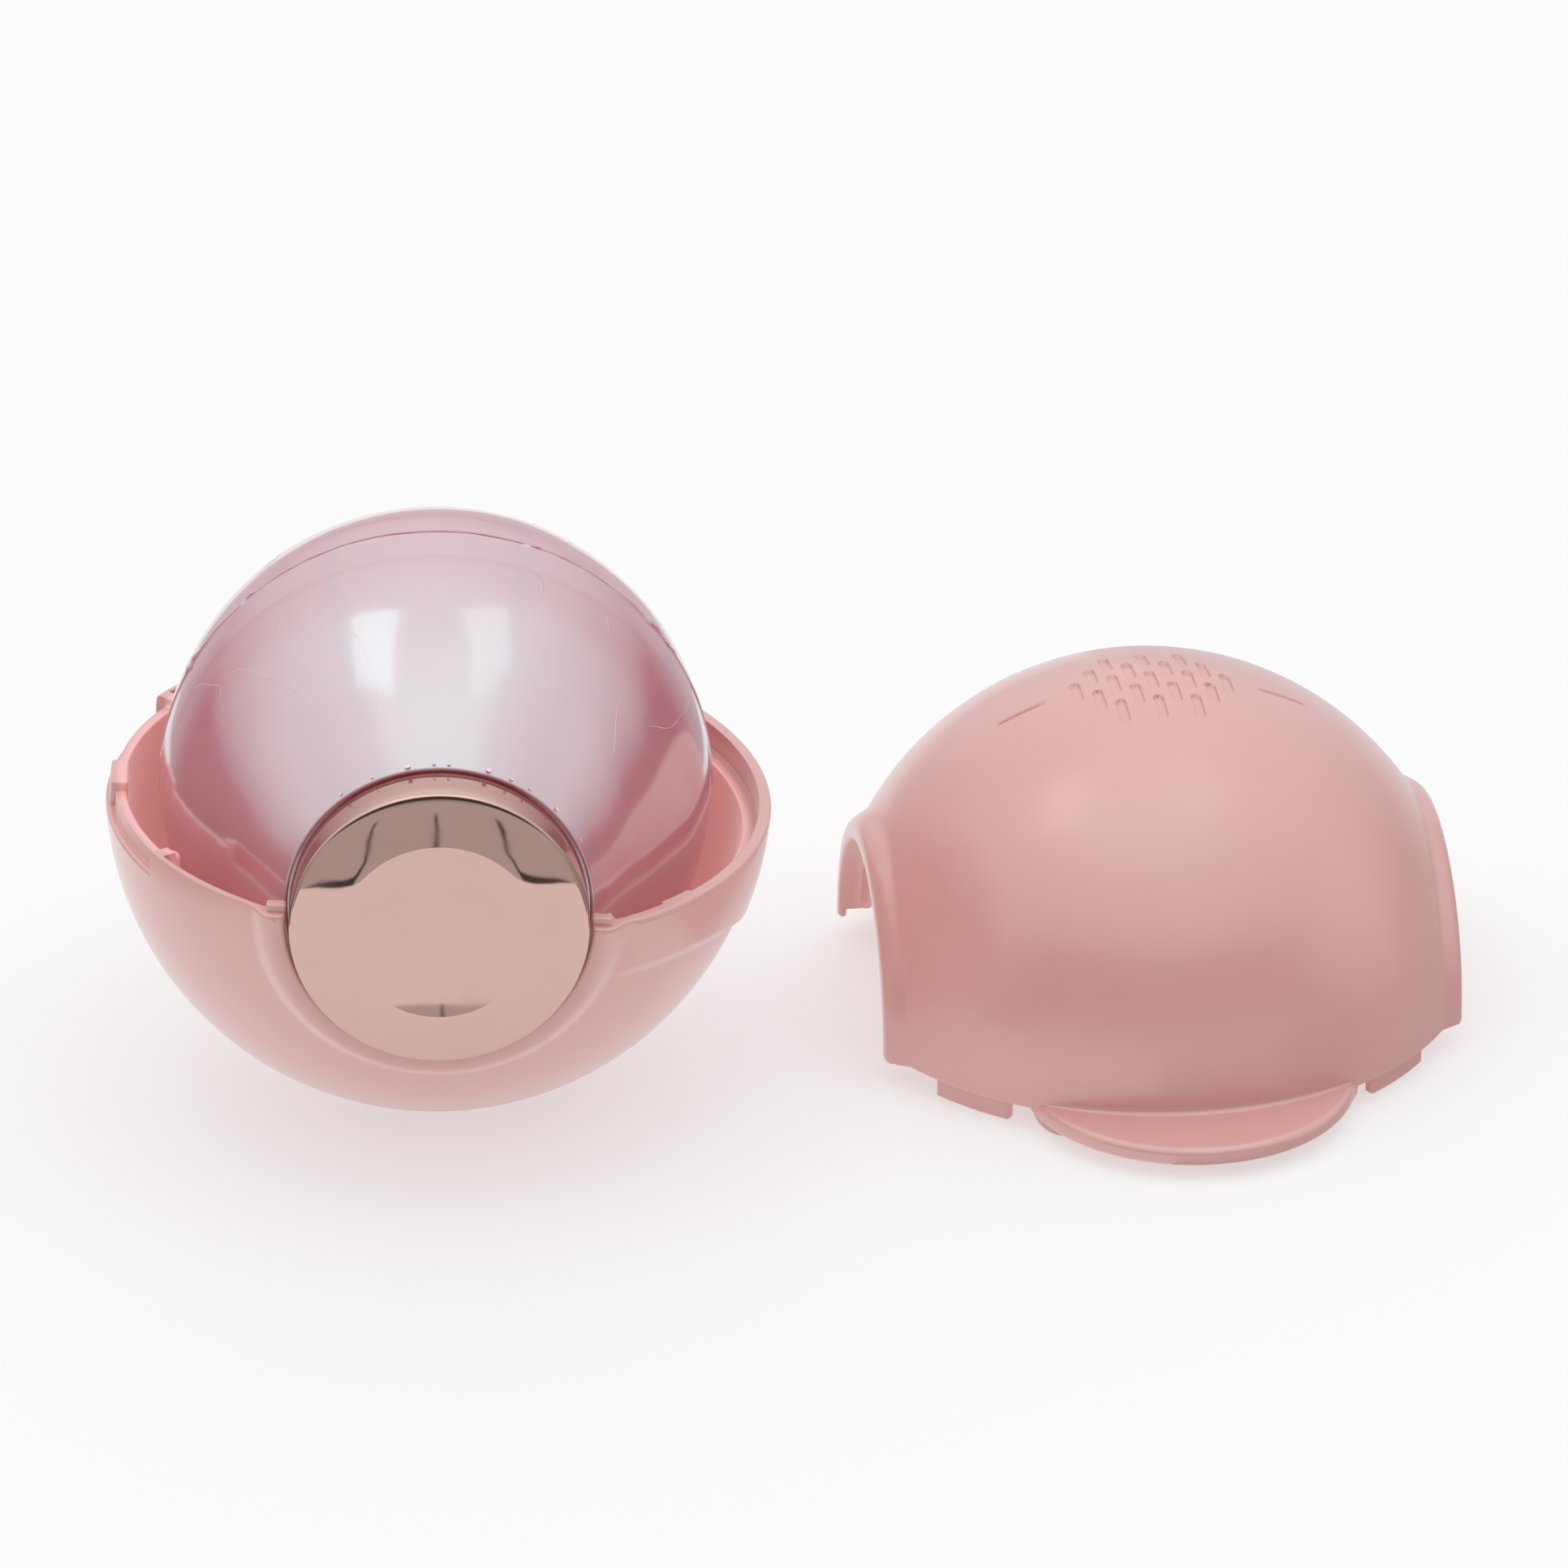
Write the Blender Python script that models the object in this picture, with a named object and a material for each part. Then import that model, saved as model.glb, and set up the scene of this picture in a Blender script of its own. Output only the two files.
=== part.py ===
"""Lint catcher ball: a washable gel ball turning on two end caps inside a bowl, with a lift-off cover."""

import math

import bmesh
import bpy
from mathutils import Matrix

MM = 0.001

# Driving sizes
SHELL_RADIUS = 37.5 * MM
SHELL_WALL = 2.3 * MM
BALL_CLEARANCE = 3.9 * MM
CAP_RADIUS = 16.6 * MM
CAP_STAND = 2.1 * MM
BORE_CLEARANCE = 0.4 * MM
BOSS_WIDTH = 3.6 * MM
BOSS_RISE = 2.55 * MM
BOSS_WALL = 2.7 * MM
END_FLOAT = 0.65 * MM
COLLAR_WALL = 1.0 * MM
GEL_THICKNESS = 3.0 * MM
GEL_SHOULDER = math.radians(62.0)
CORE_WALL = 2.0 * MM
BOLT_RADIUS = 1.5 * MM
FIT = 0.3 * MM
RIM_GAP = 0.3 * MM
FOOT_RADIUS = 7.0 * MM
PAD_RISE = 0.75 * MM
TONGUE_REACH = 8.7 * MM
TONGUE_WIDTH = 37.0 * MM
TONGUE_THICKNESS = 2.2 * MM
SKIRT_DROP = 2.9 * MM
TAB_DROP = 2.9 * MM
REBATE_DEPTH = 3.2 * MM
BOWL_LEAN = math.radians(4.0)
COVER_X = 82.75 * MM
COVER_Y = 15.3 * MM
COVER_TURN = math.radians(95.6)

# Sizes that follow from the driving ones
BORE_RADIUS = CAP_RADIUS + BORE_CLEARANCE
BOSS_RADIUS = BORE_RADIUS + BOSS_WIDTH
INNER_RADIUS = SHELL_RADIUS - SHELL_WALL
BALL_RADIUS = INNER_RADIUS - BALL_CLEARANCE
CORE_RADIUS = BALL_RADIUS - GEL_THICKNESS - FIT
BOSS_FACE = math.sqrt(SHELL_RADIUS**2 - BOSS_RADIUS**2) + BOSS_RISE
POCKET_FLOOR = BOSS_FACE - BOSS_WALL
COLLAR_TOP = POCKET_FLOOR - END_FLOAT
COLLAR_RADIUS = CAP_RADIUS + COLLAR_WALL
POCKET_RADIUS = COLLAR_RADIUS + END_FLOAT
CAP_EDGE = BOSS_FACE + CAP_STAND
BALL_HEIGHT = math.sqrt(SHELL_RADIUS**2 - FOOT_RADIUS**2)
STEP_RADIUS = SHELL_RADIUS - 0.5 * SHELL_WALL
REBATE_RADIUS = SHELL_RADIUS - 0.3 * SHELL_WALL
REBATE_FLOOR = max(REBATE_DEPTH, TAB_DROP + RIM_GAP)
LIP_DROP = 0.48 * SKIRT_DROP
LEDGE_DROP = SKIRT_DROP + RIM_GAP
COVER_HEIGHT = max(SKIRT_DROP, TAB_DROP) + 0.01 * MM
TONGUE_HALF = math.asin(0.5 * TONGUE_WIDTH / SHELL_RADIUS)
NECK_RADIUS = CAP_RADIUS - 1.6 * MM
SPIGOT_RADIUS = 0.66 * CAP_RADIUS
SPIGOT_RISE = 2.0 * MM
RECESS_DEPTH = 1.8 * MM
HEAD_RADIUS = 2.0 * BOLT_RADIUS
HEAD_HEIGHT = 1.4 * BOLT_RADIUS

ROUND_STEPS = 46
CORE_STEPS = 32
SWEEP_STEPS = 30
ARC_STEPS = 16


def smooth(value):
    """0 below 0, 1 above 1, and an even ramp between."""
    value = min(1.0, max(0.0, value))
    return value * value * (3.0 - 2.0 * value)


def height_at(radius, rho):
    """Distance along the axis at which a ball of this radius is rho wide."""
    return math.sqrt(radius * radius - rho * rho)


def arc(radius, start, end, steps):
    """Points on a ball's outline between two axial positions, both ends left in."""
    first = math.asin(start / radius)
    last = math.asin(end / radius)
    angles = [first + (last - first) * i / steps for i in range(steps + 1)]
    return [(radius * math.cos(a), radius * math.sin(a)) for a in angles]


def bezier(a, b, c, d, steps):
    """Points inside a cubic curve from a to d, the ends left out."""
    points = []
    for i in range(1, steps):
        t = i / steps
        weights = ((1 - t) ** 3, 3 * t * (1 - t) ** 2, 3 * t * t * (1 - t), t**3)
        points.append(tuple(sum(w * p[k] for w, p in zip(weights, (a, b, c, d))) for k in (0, 1)))
    return points


def material(name, colour, roughness, metallic=0.0, coat=0.0, transmission=0.0):
    """A Principled material of one colour."""
    made = bpy.data.materials.new(name)
    made.use_nodes = True
    shader = made.node_tree.nodes["Principled BSDF"]
    shader.inputs["Base Color"].default_value = (*colour, 1.0)
    shader.inputs["Roughness"].default_value = roughness
    shader.inputs["Metallic"].default_value = metallic
    shader.inputs["Coat Weight"].default_value = coat
    shader.inputs["Transmission Weight"].default_value = transmission
    made.diffuse_color = (*colour, 1.0)
    made.roughness = roughness
    made.metallic = metallic
    return made


def finish(name, bm, matrix, surface=None, rounded=True):
    """Turns a bmesh into an object, its faces outward, in place."""
    bmesh.ops.remove_doubles(bm, verts=bm.verts, dist=1e-7)
    bmesh.ops.recalc_face_normals(bm, faces=bm.faces)
    mesh = bpy.data.meshes.new(name)
    bm.to_mesh(mesh)
    bm.free()
    obj = bpy.data.objects.new(name, mesh)
    bpy.context.scene.collection.objects.link(obj)
    obj.matrix_world = matrix
    if surface:
        mesh.materials.append(surface)
    if rounded:
        mesh.shade_smooth()
        mesh.set_sharp_from_angle(angle=math.radians(28))
    return obj


def skin(rows, ring, caps):
    """Faces between rows of points; ring joins the last row to the first, caps closes both end rows."""
    bm = bmesh.new()
    verts = [[bm.verts.new(point) for point in row] for row in rows]
    count = len(rows[0])
    for i in range(len(rows) if ring else len(rows) - 1):
        here = verts[i]
        there = verts[(i + 1) % len(rows)]
        for k in range(count):
            n = (k + 1) % count
            bm.faces.new((here[k], here[n], there[n], there[k]))
    if caps:
        bm.faces.new(verts[0])
        bm.faces.new(list(reversed(verts[-1])))
    return bm


def turned(profile, steps=ROUND_STEPS, side=-1.0):
    """A closed outline of (radius, distance from the centre) turned fully about the Y axis."""
    rows = []
    for i in range(steps):
        angle = 2.0 * math.pi * i / steps
        rows.append([(r * math.cos(angle), side * h, r * math.sin(angle)) for r, h in profile])
    return skin(rows, True, False)


def sector(profile, start, end, steps):
    """A closed outline of (radius, height) swept about the Z axis between two angles in degrees."""
    rows = []
    for i in range(steps + 1):
        angle = math.radians(start + (end - start) * i / steps)
        rows.append([(r * math.cos(angle), r * math.sin(angle), z) for r, z in profile])
    return skin(rows, False, True)


def box(low, high):
    """A box between two corners."""
    bm = bmesh.new()
    bmesh.ops.create_cube(bm, size=1.0)
    size = [b - a for a, b in zip(low, high)]
    middle = [0.5 * (a + b) for a, b in zip(low, high)]
    place = Matrix.Translation(middle) @ Matrix.Diagonal((*size, 1.0))
    bmesh.ops.transform(bm, matrix=place, verts=bm.verts)
    return bm


def combine(target, operation, tools):
    """Adds one Boolean for each tool, which stays out of the render."""
    for tool in tools:
        modifier = target.modifiers.new(tool.name, "BOOLEAN")
        modifier.operation = operation
        modifier.solver = "EXACT"
        modifier.object = tool
        tool.hide_render = True
        tool.display_type = "WIRE"


def boss_outline():
    """The outer edge of one end, from the bore out to where the ball surface starts."""
    edge = 0.12 * BOSS_WIDTH
    return [
        (BORE_RADIUS, POCKET_FLOOR),
        (BORE_RADIUS, BOSS_FACE - edge),
        (BORE_RADIUS + edge, BOSS_FACE),
        (BORE_RADIUS + 0.4 * BOSS_WIDTH, BOSS_FACE),
        (BORE_RADIUS + 0.64 * BOSS_WIDTH, BOSS_FACE - 0.17 * BOSS_RISE),
        (BORE_RADIUS + 0.85 * BOSS_WIDTH, BOSS_FACE - 0.52 * BOSS_RISE),
    ]


def shell_outline():
    """Outer points then inner points of the shell wall, as (radius, axial position), front to rear."""
    side = height_at(SHELL_RADIUS, BOSS_RADIUS)
    front = [(r, -h) for r, h in boss_outline()]
    rear = [(r, h) for r, h in reversed(boss_outline())]
    outer = front + arc(SHELL_RADIUS, -side, side, ARC_STEPS) + rear
    reach = height_at(INNER_RADIUS, POCKET_RADIUS)
    inner = [(POCKET_RADIUS, POCKET_FLOOR)] + arc(INNER_RADIUS, reach, -reach, 12)
    return outer, inner + [(POCKET_RADIUS, -POCKET_FLOOR)]


def pad_rise(x, y, z):
    """How far the thumb pad stands out at this point of the outer surface."""
    angle = math.degrees(math.atan2(y, x))
    low = -(0.22 + 0.15 * math.exp(-((angle / 24.0) ** 2))) * SHELL_RADIUS
    return PAD_RISE * smooth((z - low) / (0.05 * SHELL_RADIUS)) * smooth((61.0 - abs(angle)) / 8.0)


def half_shell(side, gap, padded):
    """Half of the shell, swept about the Y axis: side 1 is the upper half, -1 the lower."""
    outer, inner = shell_outline()
    rows = []
    for i in range(SWEEP_STEPS + 1):
        row = []
        for k, (rho, y) in enumerate(outer + inner):
            lift = math.asin(gap / rho)
            angle = lift + (math.pi - 2.0 * lift) * i / SWEEP_STEPS
            x = rho * math.cos(angle)
            z = side * rho * math.sin(angle)
            grow = 1.0
            if padded and k < len(outer):
                grow += pad_rise(x, y, z) / SHELL_RADIUS
            row.append((x * grow, y * grow, z if i in (0, SWEEP_STEPS) else z * grow))
        rows.append(row)
    return skin(rows, False, True)


def recess_tool(matrix):
    """What is cut from the bowl's rim on the catch side: a lip inside and a lower ledge outside."""
    near = INNER_RADIUS - SHELL_WALL
    far = SHELL_RADIUS + SHELL_WALL
    top = 2.0 * SHELL_WALL
    profile = [
        (near, -LIP_DROP),
        (STEP_RADIUS, -LIP_DROP),
        (STEP_RADIUS, -LEDGE_DROP),
        (far, -LEDGE_DROP),
        (far, top),
        (near, top),
    ]
    half = math.degrees(TONGUE_HALF) + 1.6
    return finish("recess_tool", sector(profile, 180.0 - half, 180.0 + half, 20), matrix)


def rebate_tools(matrix):
    """What is cut from inside the bowl's rim: a rebate with two stops, and a plain one for each tab."""
    near = INNER_RADIUS - SHELL_WALL
    rows = []
    for degrees in (-58, -47.3, -46.7, -40.3, -39.7, *range(-35, 36, 5), 39.7, 40.3, 46.7, 47.3, 58):
        far = STEP_RADIUS if 40.0 < abs(degrees) < 47.0 else REBATE_RADIUS
        c = math.cos(math.radians(degrees))
        s = math.sin(math.radians(degrees))
        corners = ((near, -REBATE_FLOOR), (far, -REBATE_FLOOR), (far, SHELL_WALL), (near, SHELL_WALL))
        rows.append([(r * c, r * s, z) for r, z in corners])
    tools = [finish("rebate_tool", skin(rows, False, True), matrix)]
    far = REBATE_RADIUS
    profile = [(near, -REBATE_FLOOR), (far, -REBATE_FLOOR), (far, SHELL_WALL), (near, SHELL_WALL)]
    half = math.degrees(TONGUE_HALF) + 4.6
    for side in (1, -1):
        ends = sorted((180.0 + side * half, 180.0 + side * 60.5))
        tools.append(finish(f"tab_rebate_tool_{side}", sector(profile, *ends, 8), matrix))
    return tools


def foot_tool():
    """The room below the round foot."""
    reach = 0.5 * SHELL_RADIUS
    room = box((-reach, -reach, -reach), (reach, reach, 0.05 * MM))
    return finish("foot_tool", room, Matrix(), rounded=False)


def foot():
    """The small round flat that the bowl stands on."""
    turn = [2.0 * math.pi * i / 28 for i in range(28)]
    rows = []
    for z in (0.0, 0.5 * SHELL_WALL):
        rows.append([(FOOT_RADIUS * math.cos(t), FOOT_RADIUS * math.sin(t), z) for t in turn])
    return finish("foot", skin(rows, False, True), Matrix(), rounded=False)


def catch_block(matrix):
    """The block that the cover's skirt straddles."""
    near = INNER_RADIUS - 0.12 * SHELL_WALL
    far = SHELL_RADIUS - 0.26 * SHELL_WALL
    low = -LEDGE_DROP - 0.2 * SHELL_WALL
    profile = [(near, low), (far, low), (far, -RIM_GAP), (near, -RIM_GAP)]
    return finish("catch_block", sector(profile, 175.4, 184.6, 4), matrix)


def snap_ribs(matrix):
    """Two half-round ribs inside the rim, one at each end of the recess."""
    ribs = []
    for side in (1, -1):
        angle = math.pi - side * (TONGUE_HALF + math.radians(2.4))
        x = INNER_RADIUS * math.cos(angle)
        y = INNER_RADIUS * math.sin(angle)
        width = 0.5 * SHELL_WALL
        turn = [2.0 * math.pi * i / 10 for i in range(10)]
        rows = []
        for z in (-2.2 * SHELL_WALL, -3.0 * RIM_GAP):
            rows.append([(x + width * math.cos(t), y + width * math.sin(t), z) for t in turn])
        ribs.append(finish(f"snap_rib_{side}", skin(rows, False, True), matrix))
    return ribs


def bearing_tabs(matrix):
    """Four short tabs that carry each bore a little past half way round its cap."""
    tabs = []
    thick = 0.5 * SHELL_WALL + RIM_GAP
    outer = BOSS_FACE - 0.35 * BOSS_WALL
    for x_side in (1, -1):
        for y_side in (1, -1):
            near = CAP_RADIUS + FIT
            far = BORE_RADIUS + 0.58 * BOSS_WIDTH
            xs = sorted((x_side * near, x_side * far))
            ys = sorted((y_side * (outer - thick), y_side * outer))
            low = (xs[0], ys[0], -SHELL_WALL)
            high = (xs[1], ys[1], 2.0 * RIM_GAP)
            tabs.append(finish(f"bearing_tab_{x_side}_{y_side}", box(low, high), matrix, rounded=False))
    return tabs


def lower_shell(surface):
    """The bowl that holds the ball and stands on a small flat foot."""
    matrix = Matrix.Translation((0.0, 0.0, BALL_HEIGHT)) @ Matrix.Rotation(BOWL_LEAN, 4, "Y")
    obj = finish("lower_shell", half_shell(-1.0, RIM_GAP, True), matrix, surface)
    combine(obj, "DIFFERENCE", [recess_tool(matrix), foot_tool()] + rebate_tools(matrix))
    combine(obj, "UNION", [foot(), catch_block(matrix)] + snap_ribs(matrix) + bearing_tabs(matrix))
    return obj


def tongue(matrix):
    """The flat tongue that a finger lifts, part of a disc, with rounded edges."""
    near = STEP_RADIUS
    far = SHELL_RADIUS + TONGUE_REACH
    half = 0.5 * TONGUE_WIDTH
    root = height_at(SHELL_RADIUS, half)
    radius = ((far - root) ** 2 + half**2) / (2.0 * (far - root))
    middle = far - radius
    low = -0.6 * TONGUE_THICKNESS
    rows = []
    for level, inset in ((0.0, 0.26), (0.14, 0.06), (0.34, 0.0), (0.66, 0.0), (0.86, 0.06), (1.0, 0.26)):
        edge = radius - inset * TONGUE_THICKNESS
        cross = (near**2 + middle**2 - edge**2) / (2.0 * middle)
        wide = height_at(near, cross)
        z = low + level * TONGUE_THICKNESS
        swing = math.atan2(wide, cross - middle)
        turn = math.atan2(wide, cross)
        row = []
        for i in range(21):
            angle = swing * (i / 10 - 1.0)
            row.append((-middle - edge * math.cos(angle), edge * math.sin(angle), z))
        for i in range(1, 12):
            angle = turn * (1.0 - i / 6)
            row.append((-near * math.cos(angle), near * math.sin(angle), z))
        rows.append(row)
    return finish("tongue", skin(rows, False, True), matrix)


def skirts(matrix):
    """The two halves of the skirt below the tongue, with the gap between them for the catch block."""
    near = STEP_RADIUS + 0.8 * RIM_GAP
    far = SHELL_RADIUS - 0.2 * RIM_GAP
    top = 0.3 * SHELL_WALL
    profile = [(near, -SKIRT_DROP), (far, -SKIRT_DROP), (far, top), (near, top)]
    half = math.degrees(TONGUE_HALF) - 2.2
    first = finish("skirt_left", sector(profile, 180.0 - half, 174.0, 8), matrix)
    second = finish("skirt_right", sector(profile, 186.0, 180.0 + half, 8), matrix)
    return [first, second]


def side_tabs(matrix):
    """Two tabs that drop inside the bowl's rim beside the tongue."""
    near = INNER_RADIUS - 0.1 * SHELL_WALL
    far = REBATE_RADIUS - 2.0 * RIM_GAP
    top = 0.5 * SHELL_WALL
    profile = [(near, -TAB_DROP), (far, -TAB_DROP), (far, top), (near, top)]
    start = math.degrees(TONGUE_HALF) + 6.1
    end = start + 16.2
    first = finish("side_tab_left", sector(profile, 180.0 - end, 180.0 - start, 5), matrix)
    second = finish("side_tab_right", sector(profile, 180.0 + start, 180.0 + end, 5), matrix)
    return [first, second]


def rear_lip(matrix):
    """The lip that hooks into the bowl's rebate."""
    near = INNER_RADIUS + 0.08 * SHELL_WALL
    far = REBATE_RADIUS - RIM_GAP
    low = -min(REBATE_DEPTH - 1.5 * RIM_GAP, SKIRT_DROP)
    top = 0.5 * SHELL_WALL
    profile = [(near, low), (far, low), (far, top), (near, top)]
    return finish("rear_lip", sector(profile, -37.0, 37.0, 20), matrix)


def tab_pockets(matrix):
    """Room in the cover's four legs for the bowl's bearing tabs."""
    pockets = []
    thick = 0.5 * SHELL_WALL + RIM_GAP
    outer = BOSS_FACE - 0.35 * BOSS_WALL
    for x_side in (1, -1):
        for y_side in (1, -1):
            far = BORE_RADIUS + 0.58 * BOSS_WIDTH + RIM_GAP
            xs = sorted((x_side * (CAP_RADIUS - FIT), x_side * far))
            ys = sorted((y_side * (outer - thick - SHELL_WALL), y_side * (outer + RIM_GAP)))
            low = (xs[0], ys[0], -SHELL_WALL)
            high = (xs[1], ys[1], 3.5 * RIM_GAP)
            pockets.append(finish(f"tab_pocket_{x_side}_{y_side}", box(low, high), matrix, rounded=False))
    return pockets


def catch_pocket(matrix):
    """Room under the tongue's root for the top of the catch block."""
    near = INNER_RADIUS - SHELL_WALL
    far = SHELL_RADIUS - 0.26 * SHELL_WALL + RIM_GAP
    profile = [(near, -SKIRT_DROP), (far, -SKIRT_DROP), (far, 0.0), (near, 0.0)]
    return finish("catch_pocket", sector(profile, 174.6, 185.4, 4), matrix)


def upper_shell(surface):
    """The cover, lying dome up beside the bowl."""
    matrix = Matrix.Translation((COVER_X, COVER_Y, COVER_HEIGHT)) @ Matrix.Rotation(COVER_TURN, 4, "Z")
    obj = finish("upper_shell", half_shell(1.0, 0.0, False), matrix, surface)
    combine(obj, "DIFFERENCE", tab_pockets(matrix))
    combine(obj, "UNION", [tongue(matrix), rear_lip(matrix)] + skirts(matrix) + side_tabs(matrix))
    combine(obj, "DIFFERENCE", [catch_pocket(matrix)])
    return obj


def gel_outline():
    """One gel half: ball surface, a near cone from the shoulder to the cap, and the seat on the core."""
    lean = GEL_SHOULDER - math.radians(8.0)
    shoulder = (BALL_RADIUS * math.sin(GEL_SHOULDER), BALL_RADIUS * math.cos(GEL_SHOULDER))
    rim = 0.4 * COLLAR_WALL
    edge = (COLLAR_RADIUS, COLLAR_TOP - rim)
    reach = 0.33 * math.dist(shoulder, edge)
    ahead = (shoulder[0] - reach * math.cos(GEL_SHOULDER), shoulder[1] + reach * math.sin(GEL_SHOULDER))
    before = (edge[0] + reach * math.cos(lean), edge[1] - reach * math.sin(lean))
    seat = CORE_RADIUS + FIT
    hole = NECK_RADIUS + FIT
    flash = 0.2 * MM
    points = [(BALL_RADIUS + flash, 0.5 * FIT)]
    points += arc(BALL_RADIUS, 0.5 * FIT + 0.35 * MM, shoulder[1], 5)
    points += bezier(shoulder, ahead, before, edge, 6)
    points += [edge, (COLLAR_RADIUS - rim, COLLAR_TOP), (hole, COLLAR_TOP)]
    points += arc(seat, height_at(seat, hole), 0.5 * FIT, 5)
    return points


def core_outline(male):
    """One half of the hollow core: wall, neck, spigot for the cap, end wall and centre post."""
    outer = CORE_RADIUS
    inner = CORE_RADIUS - CORE_WALL
    joint = 0.5 * FIT
    neck_top = COLLAR_TOP - FIT
    floor = neck_top - RECESS_DEPTH
    hole = BOLT_RADIUS + FIT
    post = hole + CORE_WALL
    bay = NECK_RADIUS - CORE_WALL
    step = 0.5 * CORE_WALL
    register = [(inner + step, joint), (inner + step - FIT, -step), (inner + 0.05 * step, -step)]
    if not male:
        rebate = inner + 1.15 * step
        register = [(rebate, joint), (rebate, 1.6 * step), (inner, 1.6 * step)]
    points = arc(outer, joint, height_at(outer, NECK_RADIUS), 6)
    spigot_top = neck_top + SPIGOT_RISE
    points += [(NECK_RADIUS, neck_top), (SPIGOT_RADIUS, neck_top), (SPIGOT_RADIUS, spigot_top)]
    points += [(SPIGOT_RADIUS - CORE_WALL, spigot_top), (SPIGOT_RADIUS - CORE_WALL, floor)]
    points += [(hole, floor), (hole, joint), (post, joint), (post, floor - CORE_WALL)]
    points += [(bay, floor - CORE_WALL)]
    points += arc(inner, height_at(inner, bay), 1.6 * step, 5)[:-1]
    points += [(height_at(inner, 1.6 * step), 1.6 * step)] if male else []
    return points + list(reversed(register))


def cap_outline():
    """One end cap: skirt, rounded edge, raised ring, shallow dish, and the socket below."""
    wall = 1.3 * MM
    foot = COLLAR_TOP + 0.2 * MM
    crest_radius = 0.64 * CAP_RADIUS
    crest = CAP_EDGE + 1.0 * MM
    dish = crest - 0.67 * MM
    socket = SPIGOT_RADIUS + 0.25 * MM
    under = CAP_EDGE - 1.35 * MM
    bend = crest_radius / math.sin(math.radians(7.2))
    angles = [math.radians(1.7 * i) for i in range(5)]
    top = [(bend * math.sin(a), dish + bend * (1.0 - math.cos(a))) for a in angles]
    slope = [
        (crest_radius - 0.2 * MM, crest - 0.03 * MM),
        (crest_radius + 0.15 * MM, crest - 0.01 * MM),
        (0.735 * CAP_RADIUS, crest - 0.2 * MM),
        (0.88 * CAP_RADIUS, crest - 0.62 * MM),
        (0.96 * CAP_RADIUS, CAP_EDGE + 0.07 * MM),
        (0.976 * CAP_RADIUS, CAP_EDGE),
        (0.991 * CAP_RADIUS, CAP_EDGE - 0.15 * MM),
        (CAP_RADIUS, CAP_EDGE - 0.5 * MM),
    ]
    below = [
        (CAP_RADIUS, foot),
        (CAP_RADIUS - wall, foot),
        (CAP_RADIUS - wall, under),
        (socket + wall, under),
        (socket + wall, foot),
        (socket, foot),
        (socket, dish - wall - 0.2 * MM),
        (0.0, dish - wall - 0.2 * MM),
    ]
    return top + slope + below


def ball_parts():
    """Everything that turns together about the cap axis."""
    matrix = Matrix.Translation((0.0, 0.0, BALL_HEIGHT))
    gel = material("gel_rose", (0.62, 0.26, 0.33), 0.22, coat=0.6, transmission=0.15)
    pearl = material("core_pearl", (0.80, 0.70, 0.74), 0.35)
    plate = material("rose_gold", (0.80, 0.52, 0.44), 0.12, metallic=1.0)
    for name, side in (("front", -1.0), ("rear", 1.0)):
        finish(f"gel_half_{name}", turned(gel_outline(), side=side), matrix, gel.copy())
        core = turned(core_outline(side < 0), CORE_STEPS, side)
        finish(f"core_half_{name}", core, matrix, pearl.copy())
        finish(f"end_cap_{name}", turned(cap_outline(), side=side), matrix, plate.copy())


def hexagon(radius, hole, low, high):
    """A six-sided nut about the Y axis, or a plain one when hole is 0."""
    rows = []
    for i in range(24):
        angle = 2.0 * math.pi * i / 24
        across = radius / math.cos((angle + math.pi / 6) % (math.pi / 3) - math.pi / 6)
        corners = ((across, low), (across, high), (hole, high), (hole, low))
        rows.append([(r * math.cos(angle), h, r * math.sin(angle)) for r, h in corners])
    return skin(rows, True, False)


def fixings():
    """The bolt and nut that clamp the two core halves, both hidden under the caps."""
    matrix = Matrix.Translation((0.0, 0.0, BALL_HEIGHT))
    steel = material("bolt_steel", (0.60, 0.60, 0.62), 0.35, metallic=1.0)
    floor = COLLAR_TOP - FIT - RECESS_DEPTH
    nut_height = 1.6 * BOLT_RADIUS
    seat = floor + 0.5 * FIT
    end = -(seat + nut_height + 0.4 * BOLT_RADIUS)
    profile = [
        (0.0, end),
        (BOLT_RADIUS, end),
        (BOLT_RADIUS, seat),
        (HEAD_RADIUS, seat),
        (HEAD_RADIUS, seat + 0.7 * HEAD_HEIGHT),
        (0.7 * HEAD_RADIUS, seat + HEAD_HEIGHT),
        (0.0, seat + HEAD_HEIGHT),
    ]
    finish("tie_bolt", turned(profile, 24), matrix, steel.copy())
    nut = hexagon(1.8 * BOLT_RADIUS, BOLT_RADIUS + 0.1 * MM, seat, seat + nut_height)
    finish("tie_nut", nut, matrix, steel.copy(), rounded=False)


def main():
    for obj in list(bpy.data.objects):
        bpy.data.objects.remove(obj, do_unlink=True)
    satin = material("shell_satin", (0.83, 0.58, 0.56), 0.42)
    lower_shell(satin)
    upper_shell(satin.copy())
    ball_parts()
    fixings()


main()
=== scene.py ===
# %% [markdown]
# # A lint catcher ball, dressed for the studio
#
# The object is a tacky gel ball that turns on two plated caps inside a moulded bowl, with a domed
# cover lying beside it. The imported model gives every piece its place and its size. This file gives
# each one its finished surface: soft moulded edges, the ragged seam of the gel, small bubbles, the
# curve of the plated caps, and a material that behaves like the real one under any light.

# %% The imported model
import math

import bmesh
import bpy
import numpy as np
from mathutils import Matrix, Vector


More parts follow.
